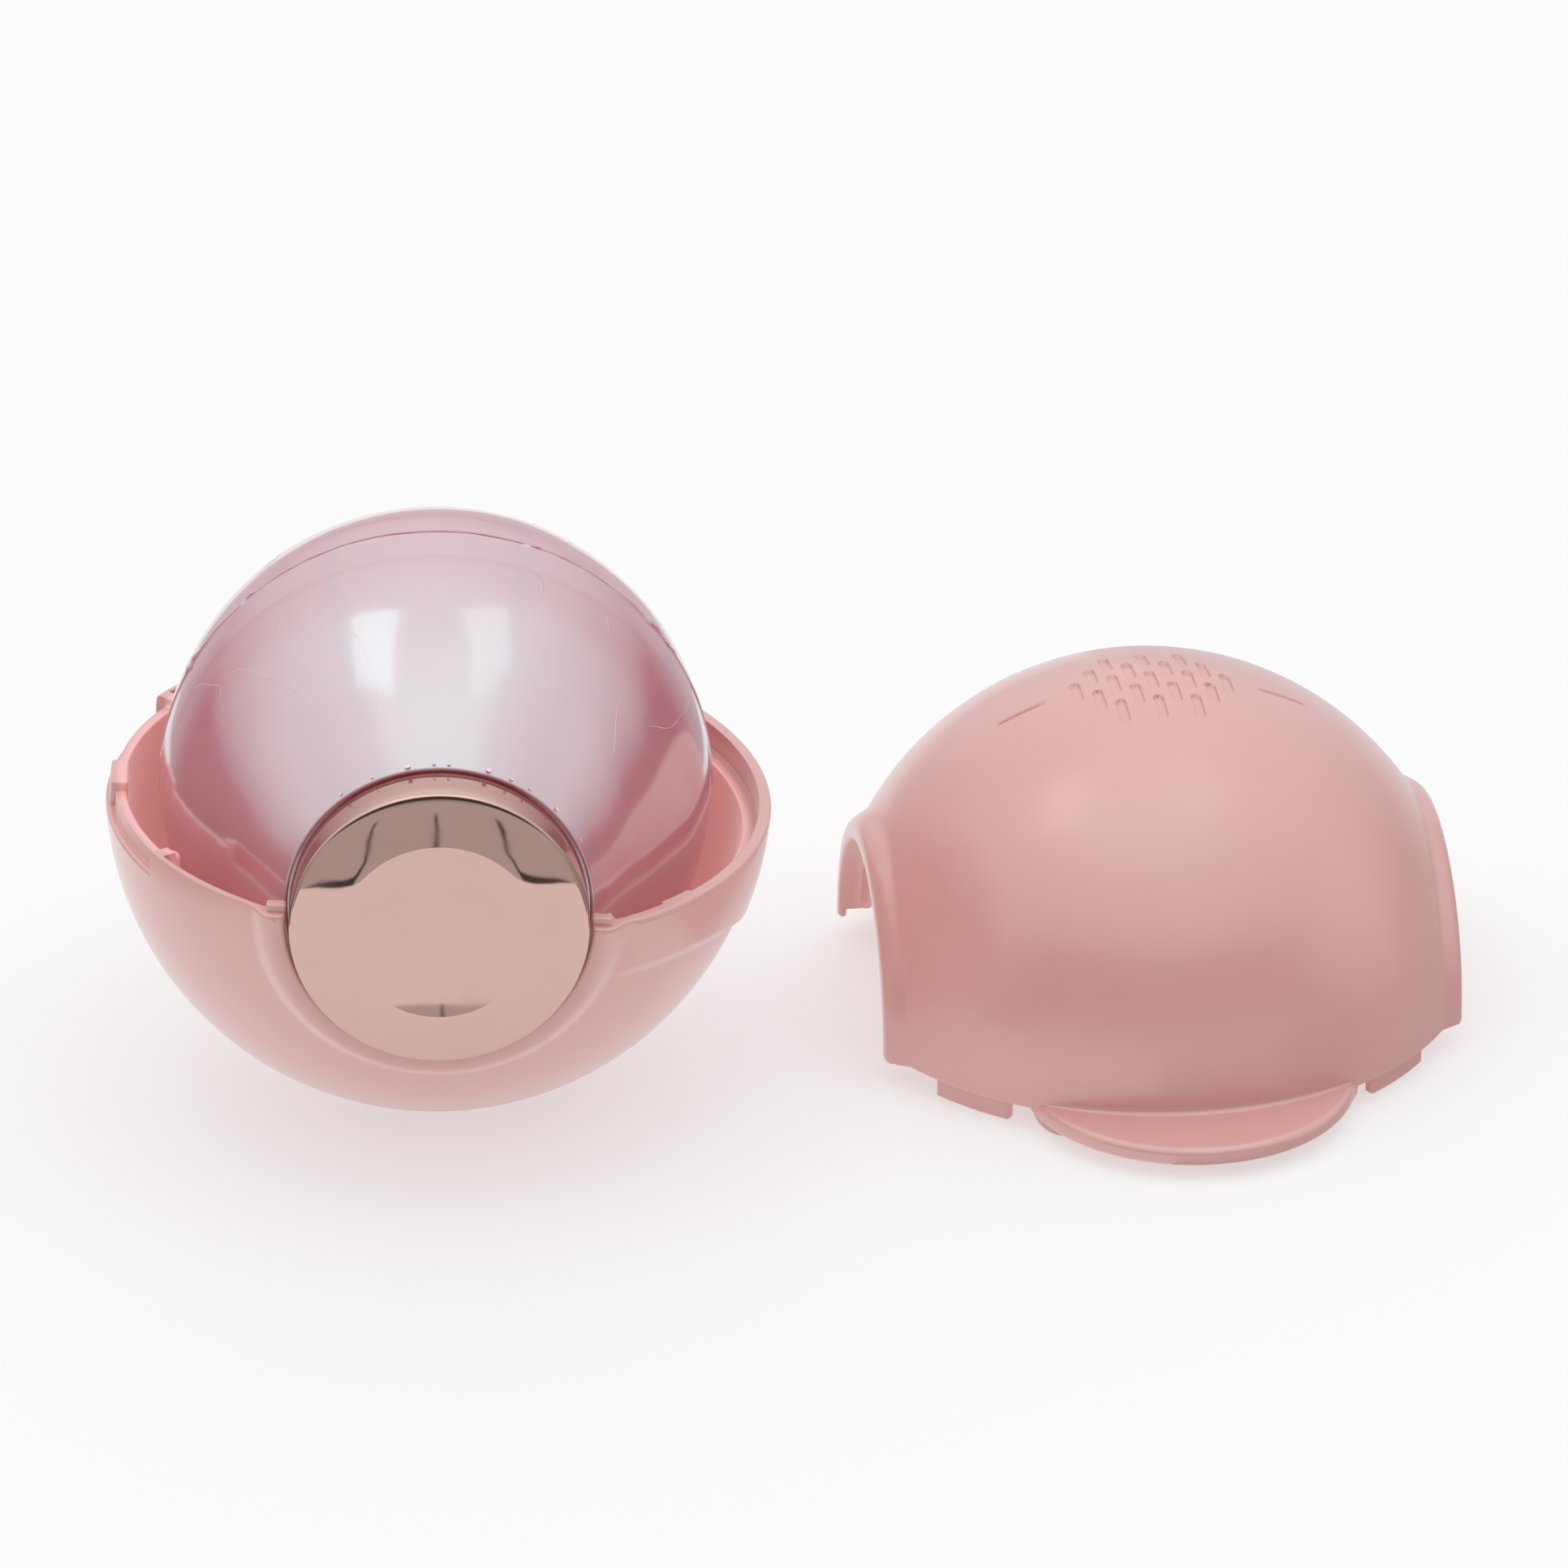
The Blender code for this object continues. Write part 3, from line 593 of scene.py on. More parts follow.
def shell_wall(outline, near_rim, far_rim, shares, swell, inside_points=64, inner_step=0.0, relief=None):
    """The closed loops of one shell. near_rim and far_rim are (first level, second level, step
    radius) on the +X and the -X side, and shares are the places along the outside between them.
    Below the seat's depth the inside stands in by inner_step."""
    outer, inner = outline
    edge = rim_edge(outer, inner)

    def ends(profile, levels):
        return [np.arcsin(np.clip((level + edge) / profile[:, 0], 0.0, 1.0))[:, None] for level in levels]

    first, last = ends(outer, (near_rim[0], far_rim[0]))
    outside = swell(swept(outer, first + (np.pi - last - first) * shares))
    if relief:
        outside = relief(outside)
    first, last = ends(inner, (near_rim[1], far_rim[1]))
    inside = swept(inner, np.pi - last - (np.pi - last - first) * np.linspace(0.0, 1.0, inside_points))
    inside = inside * (1.0 - inner_step / INNER_RADIUS * smooth((inside[..., 2:] - SEAT_DEPTH) / 0.5))
    far = rim_path(outer, inner, -1, *far_rim, swell)
    near = rim_path(outer, inner, 1, *near_rim, swell)
    return np.concatenate([outside, far, inside, near[:, ::-1]], axis=1)


print("a rim's edge is rounded over", RIM_EDGE, "mm")

# %% [markdown]
# ### The bowl
#
# The bowl's rim has a rebate inside the +X half with two small stops, a recess on the -X side where
# the cover's tongue drops in, and a rebate for a tab at each side of that recess. Outside, a thumb
# pad stands out by three quarters of a millimetre.

# %% The bowl's wall
PAD_HEIGHT, PAD_END = 0.75, 61.0
RIM, REBATE, LIP = 0.3, 3.2, 1.39
RECESS_HALF = TONGUE_HALF + 1.6
TAB_START, TAB_END = TONGUE_HALF + 4.6, 60.5
BEFORE_TAB = 32.7
REBATE_END = 58.0
STOP_START, STOP_END = 40.0, 47.0
STEP_RADIUS, STOP_STEP = 36.81, 0.46
RAMP = 0.5


def pad_swell(points):
    """The thumb pad: points of the outside move out from the middle by its height. Its lower edge is
    a curve that dips in the middle of the pad, and both its edges fade over a short ramp."""
    x, y, depth = points[..., 0], points[..., 1], points[..., 2]
    azimuth = np.degrees(np.arctan2(y, x))
    low = (0.22 + 0.15 * np.exp(-((azimuth / 24.0) ** 2))) * SHELL_RADIUS
    height = smooth((low - depth) / (0.05 * SHELL_RADIUS)) * smooth((PAD_END - np.abs(azimuth)) / 8.0)
    grow = 1.0 + PAD_HEIGHT * height / SHELL_RADIUS
    return np.stack([x * grow, y * grow, depth * (1.0 + (grow - 1.0) * smooth(depth / 2.0))], -1)


bowl_marks = [sign * mark for mark in (RECESS_HALF, TAB_START, STOP_START, STOP_END) for sign in (1, -1)]
bowl_outline = wall_outline(close_stations(1.2, bowl_marks))
azimuth = np.degrees(np.arctan2(bowl_outline[0][:, 1], bowl_outline[0][:, 0]))
rebate = window(azimuth, -REBATE_END, REBATE_END, RAMP)
stops = window(np.abs(azimuth), STOP_START, STOP_END, RAMP)
recess = window(azimuth, -RECESS_HALF, RECESS_HALF, RAMP)
tab_rebate = window(np.abs(azimuth), TAB_START, TAB_END, RAMP)
plain = np.full_like(azimuth, RIM)
bowl_near = (plain, RIM + (REBATE - RIM) * rebate, STEP_RADIUS - STOP_STEP * stops)
bowl_far = (
    RIM + (REBATE - RIM) * recess,
    RIM + (LIP - RIM) * recess + (REBATE - RIM) * tab_rebate,
    STEP_RADIUS - STOP_STEP * window(azimuth, -BEFORE_TAB, BEFORE_TAB, RAMP),
)
bowl_shares = np.unique(np.concatenate([np.linspace(0.0, 0.2, 50), np.linspace(0.2, 1.0, 90)]))
bowl_wall = shell_wall(bowl_outline, bowl_near, bowl_far, bowl_shares, pad_swell, inner_step=0.16)
bowl_wall[..., 2] *= -1.0
print("bowl wall:", bowl_wall.shape[0], "loops of", bowl_wall.shape[1], "points")

# %% [markdown]
# The bowl stands on a small flat foot. A ball that merely touches the table would roll, so the wall
# is pressed flat just above the table, and the foot's disc covers the place. The catch block, two
# snap ribs and four bearing tabs complete the moulding.

# %% The bowl's small parts
PRESSED_FLAT, FOOT_DISC = 0.06, 1.15
CATCH_RADII, CATCH_LOW, CATCH_HALF = (34.92, 36.90), -3.66, 4.6
RIB_RADIUS, RIB_LOW, RIB_TOP = 1.15, -5.06, -0.9
BEARING_X, BEARING_Y, BEARING_Z = (16.9, 19.09), (31.49, 32.94), (-2.3, 0.6)


def flat_bottom(points):
    """Points of the leaning bowl take the greater of their own height and that of a plane just above
    the table."""
    spin = np.array(bowl_place)
    set_down = points @ spin[:3, :3].T + spin[:3, 3]
    set_down[..., 2] = np.maximum(set_down[..., 2], PRESSED_FLAT)
    return (set_down - spin[:3, 3]) @ spin[:3, :3]


def bowl_parts():
    """The catch block, the two snap ribs and the four bearing tabs, each a rounded block."""
    parts = [bent_bar(CATCH_RADII, (CATCH_LOW, -RIM), (180.0 - CATCH_HALF, 180.0 + CATCH_HALF))]
    for side in (1, -1):
        angle = math.pi - side * math.radians(TONGUE_HALF + 2.4)
        x, y = INNER_RADIUS * math.cos(angle), INNER_RADIUS * math.sin(angle)
        low = (x - RIB_RADIUS, y - RIB_RADIUS, RIB_LOW)
        high = (x + RIB_RADIUS, y + RIB_RADIUS, RIB_TOP)
        parts.append(patch(rounded_block(low, high, RIB_RADIUS - 0.001, 0.5), capped=True))
        for end in (1, -1):
            xs, ys = sorted(side * x for x in BEARING_X), sorted(end * y for y in BEARING_Y)
            tab = rounded_block((xs[0], ys[0], BEARING_Z[0]), (xs[1], ys[1], BEARING_Z[1]), 0.3, 0.3)
            parts.append(patch(tab, capped=True))
    return parts


foot = rounded_block(
    (-FOOT_RADIUS, -FOOT_RADIUS, 0.0), (FOOT_RADIUS, FOOT_RADIUS, FOOT_DISC), FOOT_RADIUS - 0.001, 0.15
)
foot = (foot - np.array(bowl_place)[:3, 3]) @ np.array(bowl_place)[:3, :3]
bowl_patches = [patch(flat_bottom(bowl_wall)), patch(foot, capped=True)] + bowl_parts()
bowl = make_piece("bowl", bowl_patches, bowl_place, "bowl", ["lower_shell"])

# %% [markdown]
# ### The cover
#
# The cover is the same wall the other way up. Its rim is plain, but at the foot of each arch it is
# cut back by a millimetre on the inside, to clear the bowl's bearing tabs. On its crown lies a field
# of short sunk slots. They are real geometry, 0.35 mm deep, and not a bump map, so that they also
# catch the light from the side: the distance to the nearest slot's middle line decides how far a
# point of the outside sinks, and loops of the grid run along the slots' edges to keep them crisp.

# %% The cover's wall
SLOT_PITCH, SLOT_WIDE, SLOT_LONG, SLOT_STEP = 2.2, 1.15, 4.4, 6.0
SLOT_DEPTH = 0.35
FIELD_HALF_LONG, FIELD_HALF_WIDE = 8.8, 11.4
DASH_PLACE, DASH_HALF_LONG, DASH_HALF_WIDE = 15.6, 2.3, 0.30
POCKET_HEIGHT, POCKET_END, POCKET_STEP = 1.05, 19.6, 33.1
PLAIN_STEP = 36.2


def slot_depth(x, y):
    """How far the crown is sunk, from 0 to 1. Slots stand side by side, every second one moved by
    half a step, inside an ellipse, and one slim dash points away from it at each side. A slot is the
    set of points nearer than half its width to a short line."""
    column = np.round(y / SLOT_PITCH)
    shift = 0.5 * SLOT_STEP * (column % 2)
    centre_x = np.round((x - shift) / SLOT_STEP) * SLOT_STEP + shift
    past_line = np.maximum(np.abs(x - centre_x) - 0.5 * (SLOT_LONG - SLOT_WIDE), 0.0)
    away = np.hypot(past_line, y - column * SLOT_PITCH)
    inside = (centre_x / FIELD_HALF_LONG) ** 2 + (column * SLOT_PITCH / FIELD_HALF_WIDE) ** 2 < 1.0
    slots = smooth((0.5 * SLOT_WIDE - away) / 0.16 + 0.5) * inside
    past_line = np.maximum(np.abs(np.abs(y) - DASH_PLACE) - DASH_HALF_LONG, 0.0)
    dash = smooth((DASH_HALF_WIDE - np.hypot(x, past_line)) / 0.2 + 0.5)
    return np.maximum(slots, dash)


def crown_relief(points):
    """Points of the crown move towards the middle of the ball by the slots' depth."""
    radius = np.linalg.norm(points, axis=-1)
    sunk = SLOT_DEPTH * slot_depth(points[..., 0], points[..., 1]) * (points[..., 2] > 20.0)
    return points * (1.0 - sunk / radius)[..., None]


across_slot = np.array([0.0, 0.2, 0.36, 0.45, 0.52, 0.575, 0.63, 0.70, 0.85])
across_slot = np.concatenate([-across_slot[1:], across_slot])
along_dash = np.array([13.2, 13.4, 15.6, 17.8, 18.0, 18.2])
crown = (SLOT_PITCH * np.arange(-5, 6)[:, None] + across_slot).ravel()
crown = np.degrees(np.arcsin(np.concatenate([crown, -along_dash, along_dash]) / SHELL_RADIUS))
coarse = close_stations(1.3, [])
coarse = coarse[np.abs(coarse) > 19.0]
cover_azimuths = np.unique(np.round(np.concatenate([coarse, crown]), 3))
cover_outline = wall_outline(cover_azimuths)
rho, along = cover_outline[0].T
pocket = POCKET_HEIGHT * smooth((POCKET_END - rho) / 0.3)
bore_end = POCKET_HEIGHT * smooth((33.5 - np.abs(along)) / 0.5) * smooth((17.3 - rho) / 0.2)
cover_rim = (bore_end, pocket, np.where(pocket > 0.5, np.hypot(rho, POCKET_STEP), PLAIN_STEP))
stretches = ((0.0, 0.41, 22), (0.41, 0.59, 150), (0.59, 1.0, 22))
cover_shares = np.unique(np.concatenate([np.linspace(*stretch) for stretch in stretches]))
cover_wall = shell_wall(
    cover_outline, cover_rim, cover_rim, cover_shares, lambda points: points, 28, relief=crown_relief
)
print("cover wall:", cover_wall.shape[0], "loops of", cover_wall.shape[1], "points")

# %% [markdown]
# A finger lifts the cover by its tongue, a flat lens of plastic at the rim. A small hollow round leads
# from the wall down to it. Below it hangs a skirt in two halves that straddles the bowl's catch block
# and rises in a curve towards the tongue's corners. Two tabs and a long lip locate the cover.

# %% The tongue and the cover's small parts
TONGUE_REACH, TONGUE_THICK, TONGUE_ROOT = 8.7, 2.2, 36.35
TONGUE_TOP = 0.4 * TONGUE_THICK
SKIRT_RADII, SKIRT_LOW, SKIRT_TOP = (36.59, 37.44), -2.9, 0.69
SKIRT_START, SKIRT_END, SKIRT_TAPER = 6.0, TONGUE_HALF + 0.9, 5.2
LIP_RADII, LIP_LEVELS, LIP_HALF = (35.38, 36.51), (-2.75, 1.15), 37.0
SIDE_TAB_RADII, SIDE_TAB_LEVELS = (34.97, 36.21), (-2.9, 1.15)
SIDE_TAB_START, SIDE_TAB_LONG = TONGUE_HALF + 6.1, 16.2


def tongue_patch():
    """The tongue: a stack of outlines, each the arc of a disc on the outside and the wall's own arc
    on the inside. Towards the top and the bottom the disc shrinks along a quarter circle."""
    half, far = 0.5 * TONGUE_WIDTH, SHELL_RADIUS + TONGUE_REACH
    chord = math.sqrt(SHELL_RADIUS**2 - half**2)
    radius = ((far - chord) ** 2 + half**2) / (2.0 * (far - chord))
    middle = far - radius
    turn = np.linspace(0.0, 0.5 * np.pi, 7)
    rounding = 0.42 * TONGUE_THICK
    inset = np.concatenate([[1.8 * rounding], rounding * (1 - np.sin(turn))])
    level = np.concatenate([[0.0], rounding * (1 - np.cos(turn))])
    inset = np.concatenate([inset, inset[::-1]])
    level = np.concatenate([level, TONGUE_THICK - level[::-1]]) + TONGUE_TOP - TONGUE_THICK
    edge = (radius - inset)[:, None]
    cross = (TONGUE_ROOT**2 + middle**2 - edge**2) / (2.0 * middle)
    wide = np.sqrt(TONGUE_ROOT**2 - cross**2)
    swing, turn = np.arctan2(wide, cross - middle), np.arctan2(wide, cross)
    outside = swing * np.linspace(-1.0, 1.0, 81)
    inside = turn * np.linspace(1.0, -1.0, 42)[1:-1]
    x = np.concatenate([-middle - edge * np.cos(outside), -TONGUE_ROOT * np.cos(inside)], axis=1)
    y = np.concatenate([edge * np.sin(outside), TONGUE_ROOT * np.sin(inside)], axis=1)
    return patch(np.stack([x, y, np.broadcast_to(level[:, None], x.shape)], -1), capped=True)


def tongue_fillet():
    """The hollow round where the tongue meets the wall: a quarter circle from the wall down to the
    tongue's top, carried along the rim, and drawn in towards the tongue's corners."""
    steps = 61
    azimuth = np.radians(np.linspace(180.0 - TONGUE_HALF + 0.8, 180.0 + TONGUE_HALF - 0.8, steps))
    reach = 0.9 * np.sin(np.linspace(0.03, np.pi - 0.03, steps))[:, None] ** 0.5
    turn = np.linspace(0.0, 0.5 * np.pi, 9)
    top = TONGUE_TOP - 0.01
    radius = np.concatenate([reach * (1.0 - np.cos(turn)), 0.0 * reach, 0.0 * reach], 1)[:, ::-1]
    radius = SHELL_RADIUS - 0.03 + radius - np.array([0.5, 0.5] + [0.0] * 9) * np.minimum(reach, 1.0)
    height = np.concatenate([reach * (1.0 - np.sin(turn)), 0.0 * reach - 0.3, reach], 1)[:, ::-1] + top
    points = [radius * np.cos(azimuth)[:, None], radius * np.sin(azimuth)[:, None], height]
    return patch(np.stack(points, -1), capped=True)


def skirt_half(side):
    """One half of the skirt. Towards its outer end the lower edge rises along a quarter ellipse."""
    azimuths = (180.0 + side * SKIRT_START, 180.0 + side * SKIRT_END)
    points, quads, caps = bent_bar(SKIRT_RADII, (SKIRT_LOW, SKIRT_TOP), azimuths, step=0.5)
    azimuth = np.degrees(np.abs(np.arctan2(points[:, 1], -points[:, 0])))
    share = np.clip((azimuth - SKIRT_END + SKIRT_TAPER) / SKIRT_TAPER, 0.0, 0.97)
    points[:, 2] = SKIRT_TOP + (points[:, 2] - SKIRT_TOP) * np.sqrt(1.0 - share**2)
    return points, quads, caps


def cover_parts():
    """The tongue with its hollow round, the skirt's two halves, the two side tabs and the long lip."""
    parts = [tongue_patch(), tongue_fillet(), bent_bar(LIP_RADII, LIP_LEVELS, (-LIP_HALF, LIP_HALF))]
    for side in (1, -1):
        azimuths = [180.0 + side * (SIDE_TAB_START + more) for more in (0.0, SIDE_TAB_LONG)]
        parts += [skirt_half(side), bent_bar(SIDE_TAB_RADII, SIDE_TAB_LEVELS, azimuths)]
    return parts


cover_patches = [patch(cover_wall)] + cover_parts()
cover = make_piece("cover", cover_patches, cover_place, "cover", ["upper_shell"])

# %% [markdown]
# ## The gel ball
#
# The ball is two soft halves of gel, cast on a stiff core. Each half is a profile turned about the cap
# axis. Two things are worked out round the turn as well: the flash where the mould closed, which
# comes out ragged, and a faint waviness, because the gel is soft.

# %% The gel halves
TORN_BUMPS = ((0.55, 0.010), (0.66, 0.016), (1.20, 0.012), (2.30, 0.014), (2.62, 0.02), (4.4, 0.015))
SEAM_HALF = 0.15
SHOULDER = math.radians(62.0)
GEL_EDGE = np.array((17.25, GEL_TOP - 0.16))
GEL_MOUTH = 15.3
OUTSIDE_POINTS = 66


def raggedness(angle):
    """The flash's height round the seam: sines of unlike frequency, and a few short torn bumps."""
    waves = 0.5 + 0.22 * np.sin(7 * angle + 1.0) + 0.16 * np.sin(17 * angle + 2.2) + 0.12 * np.sin(41 * angle)
    bumps = 0.0
    for centre, width in TORN_BUMPS:
        away = np.angle(np.exp(1j * (angle - centre)))
        bumps = bumps + np.exp(-((away / width) ** 2))
    return 0.07 + 0.12 * np.clip(waves, 0.0, 1.0) + 0.22 * bumps


def gel_profile():
    """From the seam over the ball to the shoulder, from there along a cubic curve with four control
    points, which is nearly a cone, to the lip beside the cap, then back along the core."""
    start = math.asin(0.9 / BALL_RADIUS)
    angles = np.linspace(start, 0.5 * math.pi - SHOULDER - 0.05, 26)
    ball = BALL_RADIUS * np.stack([np.cos(angles), np.sin(angles)], -1)
    shoulder = BALL_RADIUS * np.array((math.sin(SHOULDER), math.cos(SHOULDER)))
    reach = 0.33 * math.dist(shoulder, GEL_EDGE)
    ahead = shoulder + reach * np.array((-math.cos(SHOULDER), math.sin(SHOULDER)))
    lean = SHOULDER - math.radians(8.0)
    before = GEL_EDGE + reach * np.array((math.cos(lean), -math.sin(lean)))
    t = np.linspace(0.0, 1.0, 34)[:, None]
    cone = (1 - t) ** 3 * shoulder + 3 * t * (1 - t) ** 2 * ahead
    cone = cone + 3 * t**2 * (1 - t) * before + t**3 * GEL_EDGE
    lip = [(17.18, -0.06), (17.1, -0.03), (16.95, -0.1), (16.74, -0.42), (GEL_MOUTH, -0.42)]
    lip = [(rho, GEL_TOP + lower) for rho, lower in lip]
    seat = CORE_RADIUS + 0.3
    inner = np.linspace(math.acos(GEL_MOUTH / seat), math.asin(SEAM_HALF / seat), 14)
    inside = seat * np.stack([np.cos(inner), np.sin(inner)], -1)
    skin = [(BALL_RADIUS, along) for along in (SEAM_HALF, 0.24, 0.42, 0.66)]
    return np.concatenate([skin, ball, cone[1:], lip, inside])


def gel_half(name, side, node):
    """One half of the gel. The first points of the profile carry the flash, less and less of it, and
    crossed sines of the angle and the height make the outside sag by a few hundredths of a
    millimetre."""
    profile = gel_profile()
    steps = 480
    loops = turned(np.concatenate([profile, profile[:1]]), steps)
    angle = 2 * np.pi * np.arange(steps) / steps
    flash = np.zeros((len(loops), steps))
    share = np.array([1.0, 0.9, 0.35, 0.05])
    flash[:4] = share[:, None] * raggedness(angle + 0.02 * side)
    flash[-1] = flash[0]
    height = loops[..., 1]
    sag = 0.035 * np.sin(5 * angle + 0.25 * height) * np.sin(0.55 * height + 2 * np.sin(angle))
    outside = (np.hypot(loops[..., 0], loops[..., 2]) > 17.65) & (
        np.arange(len(loops))[:, None] < OUTSIDE_POINTS
    )
    grow = 1.0 + (flash + sag * outside * smooth((height - 0.7) / 3.0)) / BALL_RADIUS
    loops[..., 0] *= grow
    loops[..., 2] *= grow
    loops[..., 1] *= side
    return make_piece(name, [patch(loops)], ball_place, "ball", [node])


gel_front = gel_half("gel_front", -1.0, "gel_half_front")
gel_rear = gel_half("gel_rear", 1.0, "gel_half_rear")

# %% [markdown]
# ## The plated caps
#
# Plating is a mirror, and a mirror shows every kink of the curve below it. So the whole face of a
# cap, from the dish over its crest to the rolled edge, is one flowing line through a few points. A
# wave of a few thousandths of a millimetre is left in, as in any thin plated moulding.

# %% The caps
CREST_HEIGHT, ROLL_RADIUS, CAP_WALL = 0.99, 0.34, 1.3
CAP_WAVE, FACE_POINTS = 0.003, 80
ROLL_START, ROLL_SLOPE = 16.42, 27.0
SLOPE_PLACES = (0.0, 10.38, 10.5, 10.74, 10.86, 12.2, 14.6, 16.05, ROLL_START)
SLOPES = (0.0, 8.7, 6.6, -4.6, -6.1, -8.8, -11.5, -15.4, -ROLL_SLOPE)


def cap_profile():
    """The face follows its slope: it climbs from the middle of the dish to the crest, turns over
    within half a millimetre, and falls ever more steeply. Its height is the running sum of the
    slope's tangent. A quarter round leads to the side, and the socket lies behind."""
    stretches = ((0.0, 16.1, 60), (10.2, 11.1, 19), (16.1, ROLL_START, 9))
    rho = np.unique(np.concatenate([np.linspace(*stretch) for stretch in stretches]))
    rise = np.tan(np.radians(np.interp(rho, SLOPE_PLACES, SLOPES)))
    height = np.concatenate([[0.0], np.cumsum(0.5 * (rise[1:] + rise[:-1]) * np.diff(rho))])
    height += CAP_EDGE + CREST_HEIGHT - height.max()
    turn = np.radians(np.linspace(ROLL_SLOPE, 90.0, 12))[1:]
    start = np.array((rho[-1], height[-1])) - ROLL_RADIUS * np.array((math.sin(turn[0]), math.cos(turn[0])))
    rolled = start + ROLL_RADIUS * np.stack([np.sin(turn), np.cos(turn)], -1)
    rolled[:, 0] *= CAP_RADIUS / rolled[-1, 0]
    face = np.concatenate([np.stack([rho, height], -1), rolled])
    foot = GEL_TOP - 0.3
    under = CAP_EDGE - 1.35
    socket = 0.66 * CAP_RADIUS + 0.25
    floor_height = height[0] - CAP_WALL - 0.2
    below = [
        (CAP_RADIUS, CAP_EDGE - 3.0),
        (CAP_RADIUS, foot),
        (CAP_RADIUS - CAP_WALL, foot),
        (CAP_RADIUS - CAP_WALL, under),
        (socket + CAP_WALL, under),
        (socket + CAP_WALL, foot),
        (socket, foot),
        (socket, floor_height),
        (0.0, floor_height),
    ]
    return np.concatenate([face, below])


def cap(name, side, node):
    """One cap, with its slight wave: the product of two crossed sines, always sunk, which fades
    towards the side."""
    loops = turned(cap_profile(), 240)
    x, z = loops[..., 0], loops[..., 2]
    face = (np.arange(len(loops))[:, None] < FACE_POINTS) * smooth((CAP_RADIUS - np.hypot(x, z)) / 2.0)
    wave = CAP_WAVE * np.sin(0.55 * x + 0.8) * np.sin(0.48 * z + 0.3 * x) * face
    loops[..., 1] = side * (loops[..., 1] - np.abs(wave))
    return make_piece(name, [patch(loops)], ball_place, "ball", [node], sharp=35.0)


cap_front = cap("cap_front", -1.0, "end_cap_front")
cap_rear = cap("cap_rear", 1.0, "end_cap_rear")

# %% [markdown]
# ## Small marks of use on the gel
#
# Gel that has been washed and handled carries tiny bubbles where it meets the cap, and hair-thin
# lines. A bump map could draw them, but it would show nothing from the side. Each bubble is a low
# dome that bulges from the surface, and each hair is a thin tube that follows it. They are few, so
# their faces cost little, and they catch the light as real ones do. A painted glow in their finish
# makes them brighter still.

# %% The gel's surface as a function
LINE_POINTS = 62
gel_rho, gel_along = gel_profile()[:LINE_POINTS].T


def on_gel(along, angle, side, lift=0.0):
    """The point of the gel at a distance along the cap axis and an angle from the top, and lifted."""
    rho = np.interp(along, gel_along, gel_rho) + lift
    return np.stack([rho * np.sin(angle), side * along, rho * np.cos(angle)], axis=-1)


print(f"the gel's line ends {gel_along[-1]:.1f} mm along the axis")

# %% Bubbles
BUBBLE_RISE = 0.22


def bubble_patches(side, places):
    """Low domes on the gel: (angle from the top in degrees, distance along the axis, radius). A ring
    of the dome is its radius times the sine of a polar angle, and it is lifted by BUBBLE_RISE of the
    radius times the cosine."""
    patches = []
    polar = np.linspace(0.0, np.pi, 11)[:, None]
    round_angle = np.linspace(0.0, 2 * np.pi, 17)[:-1]
    for angle, along, radius in places:
        rho = np.interp(along, gel_along, gel_rho)
        turn = math.radians(angle) + radius * np.sin(polar) * np.sin(round_angle) / rho
        place = along + radius * np.sin(polar) * np.cos(round_angle)
        patches.append(patch(on_gel(place, turn, side, BUBBLE_RISE * radius * np.cos(polar))))
    return patches


FRONT_BUBBLES = ((-10.4, 30.2, 0.34), (-0.7, 30.2, 0.2), (4.7, 30.2, 0.22), (19.3, 30.15, 0.33),
                 (28.3, 30.2, 0.24), (36.1, 30.1, 0.2), (48.7, 30.1, 0.26), (-24.0, 30.2, 0.16),
                 (11.5, 29.6, 0.13), (-37.0, 30.1, 0.2), (23.5, 29.2, 0.11), (64.0, 30.1, 0.18))
REAR_BUBBLES = ((-31.0, 30.2, 0.28), (8.0, 30.2, 0.2), (52.0, 30.1, 0.3), (71.0, 29.8, 0.16))

domes = bubble_patches(-1.0, FRONT_BUBBLES)
bubbles_front = make_piece("gel_bubbles_front", domes, ball_place, "ball", [])
domes = bubble_patches(1.0, REAR_BUBBLES)
bubbles_rear = make_piece("gel_bubbles_rear", domes, ball_place, "ball", [])


# %% Hair lines
HAIR_RADIUS = 0.05


def hair_patches(side, hairs):
    """Thin tubes on the gel: each runs from (angle, along) to (angle, along) in a curve with a bow
    and a small wriggle, and thins towards its ends."""
    patches = []
    t = np.linspace(0.0, 1.0, 40)[:, None]
    ring = np.linspace(0.0, 2 * np.pi, 7)[:-1]
    for first, last, bow in hairs:
        wriggle = bow * np.sin(np.pi * t) + 0.5 * np.sin(11 * t)
        angle = np.radians(first[0] + (last[0] - first[0]) * t + wriggle)
        along = first[1] + (last[1] - first[1]) * t + 0.25 * np.sin(7 * t + bow)
        thick = HAIR_RADIUS * np.sin(np.pi * np.clip(t, 0.02, 0.98)) ** 0.5
        points = on_gel(along + thick * np.cos(ring), angle, side, thick * np.sin(ring))
        patches.append(patch(points, capped=True))
    return patches


FRONT_HAIRS = (((-52, 9.0), (-35, 21.0), 3.0), ((-34, 7.0), (-28, 19.0), -4.0), ((38, 6.0), (33, 17.0), 5.0),
               ((50, 12.0), (57, 22.0), -3.0), ((22, 5.0), (24, 13.5), 2.0), ((-63, 5.0), (-55, 12.0), 4.0),
               ((-20, 14.0), (-17, 24.0), 2.5), ((67, 4.0), (60, 15.0), 3.0))
REAR_HAIRS = (((-40, 6.0), (-31, 18.0), 3.0), ((25, 9.0), (33, 20.0), -4.0), ((75, 5.0), (66, 15.0), 3.0))

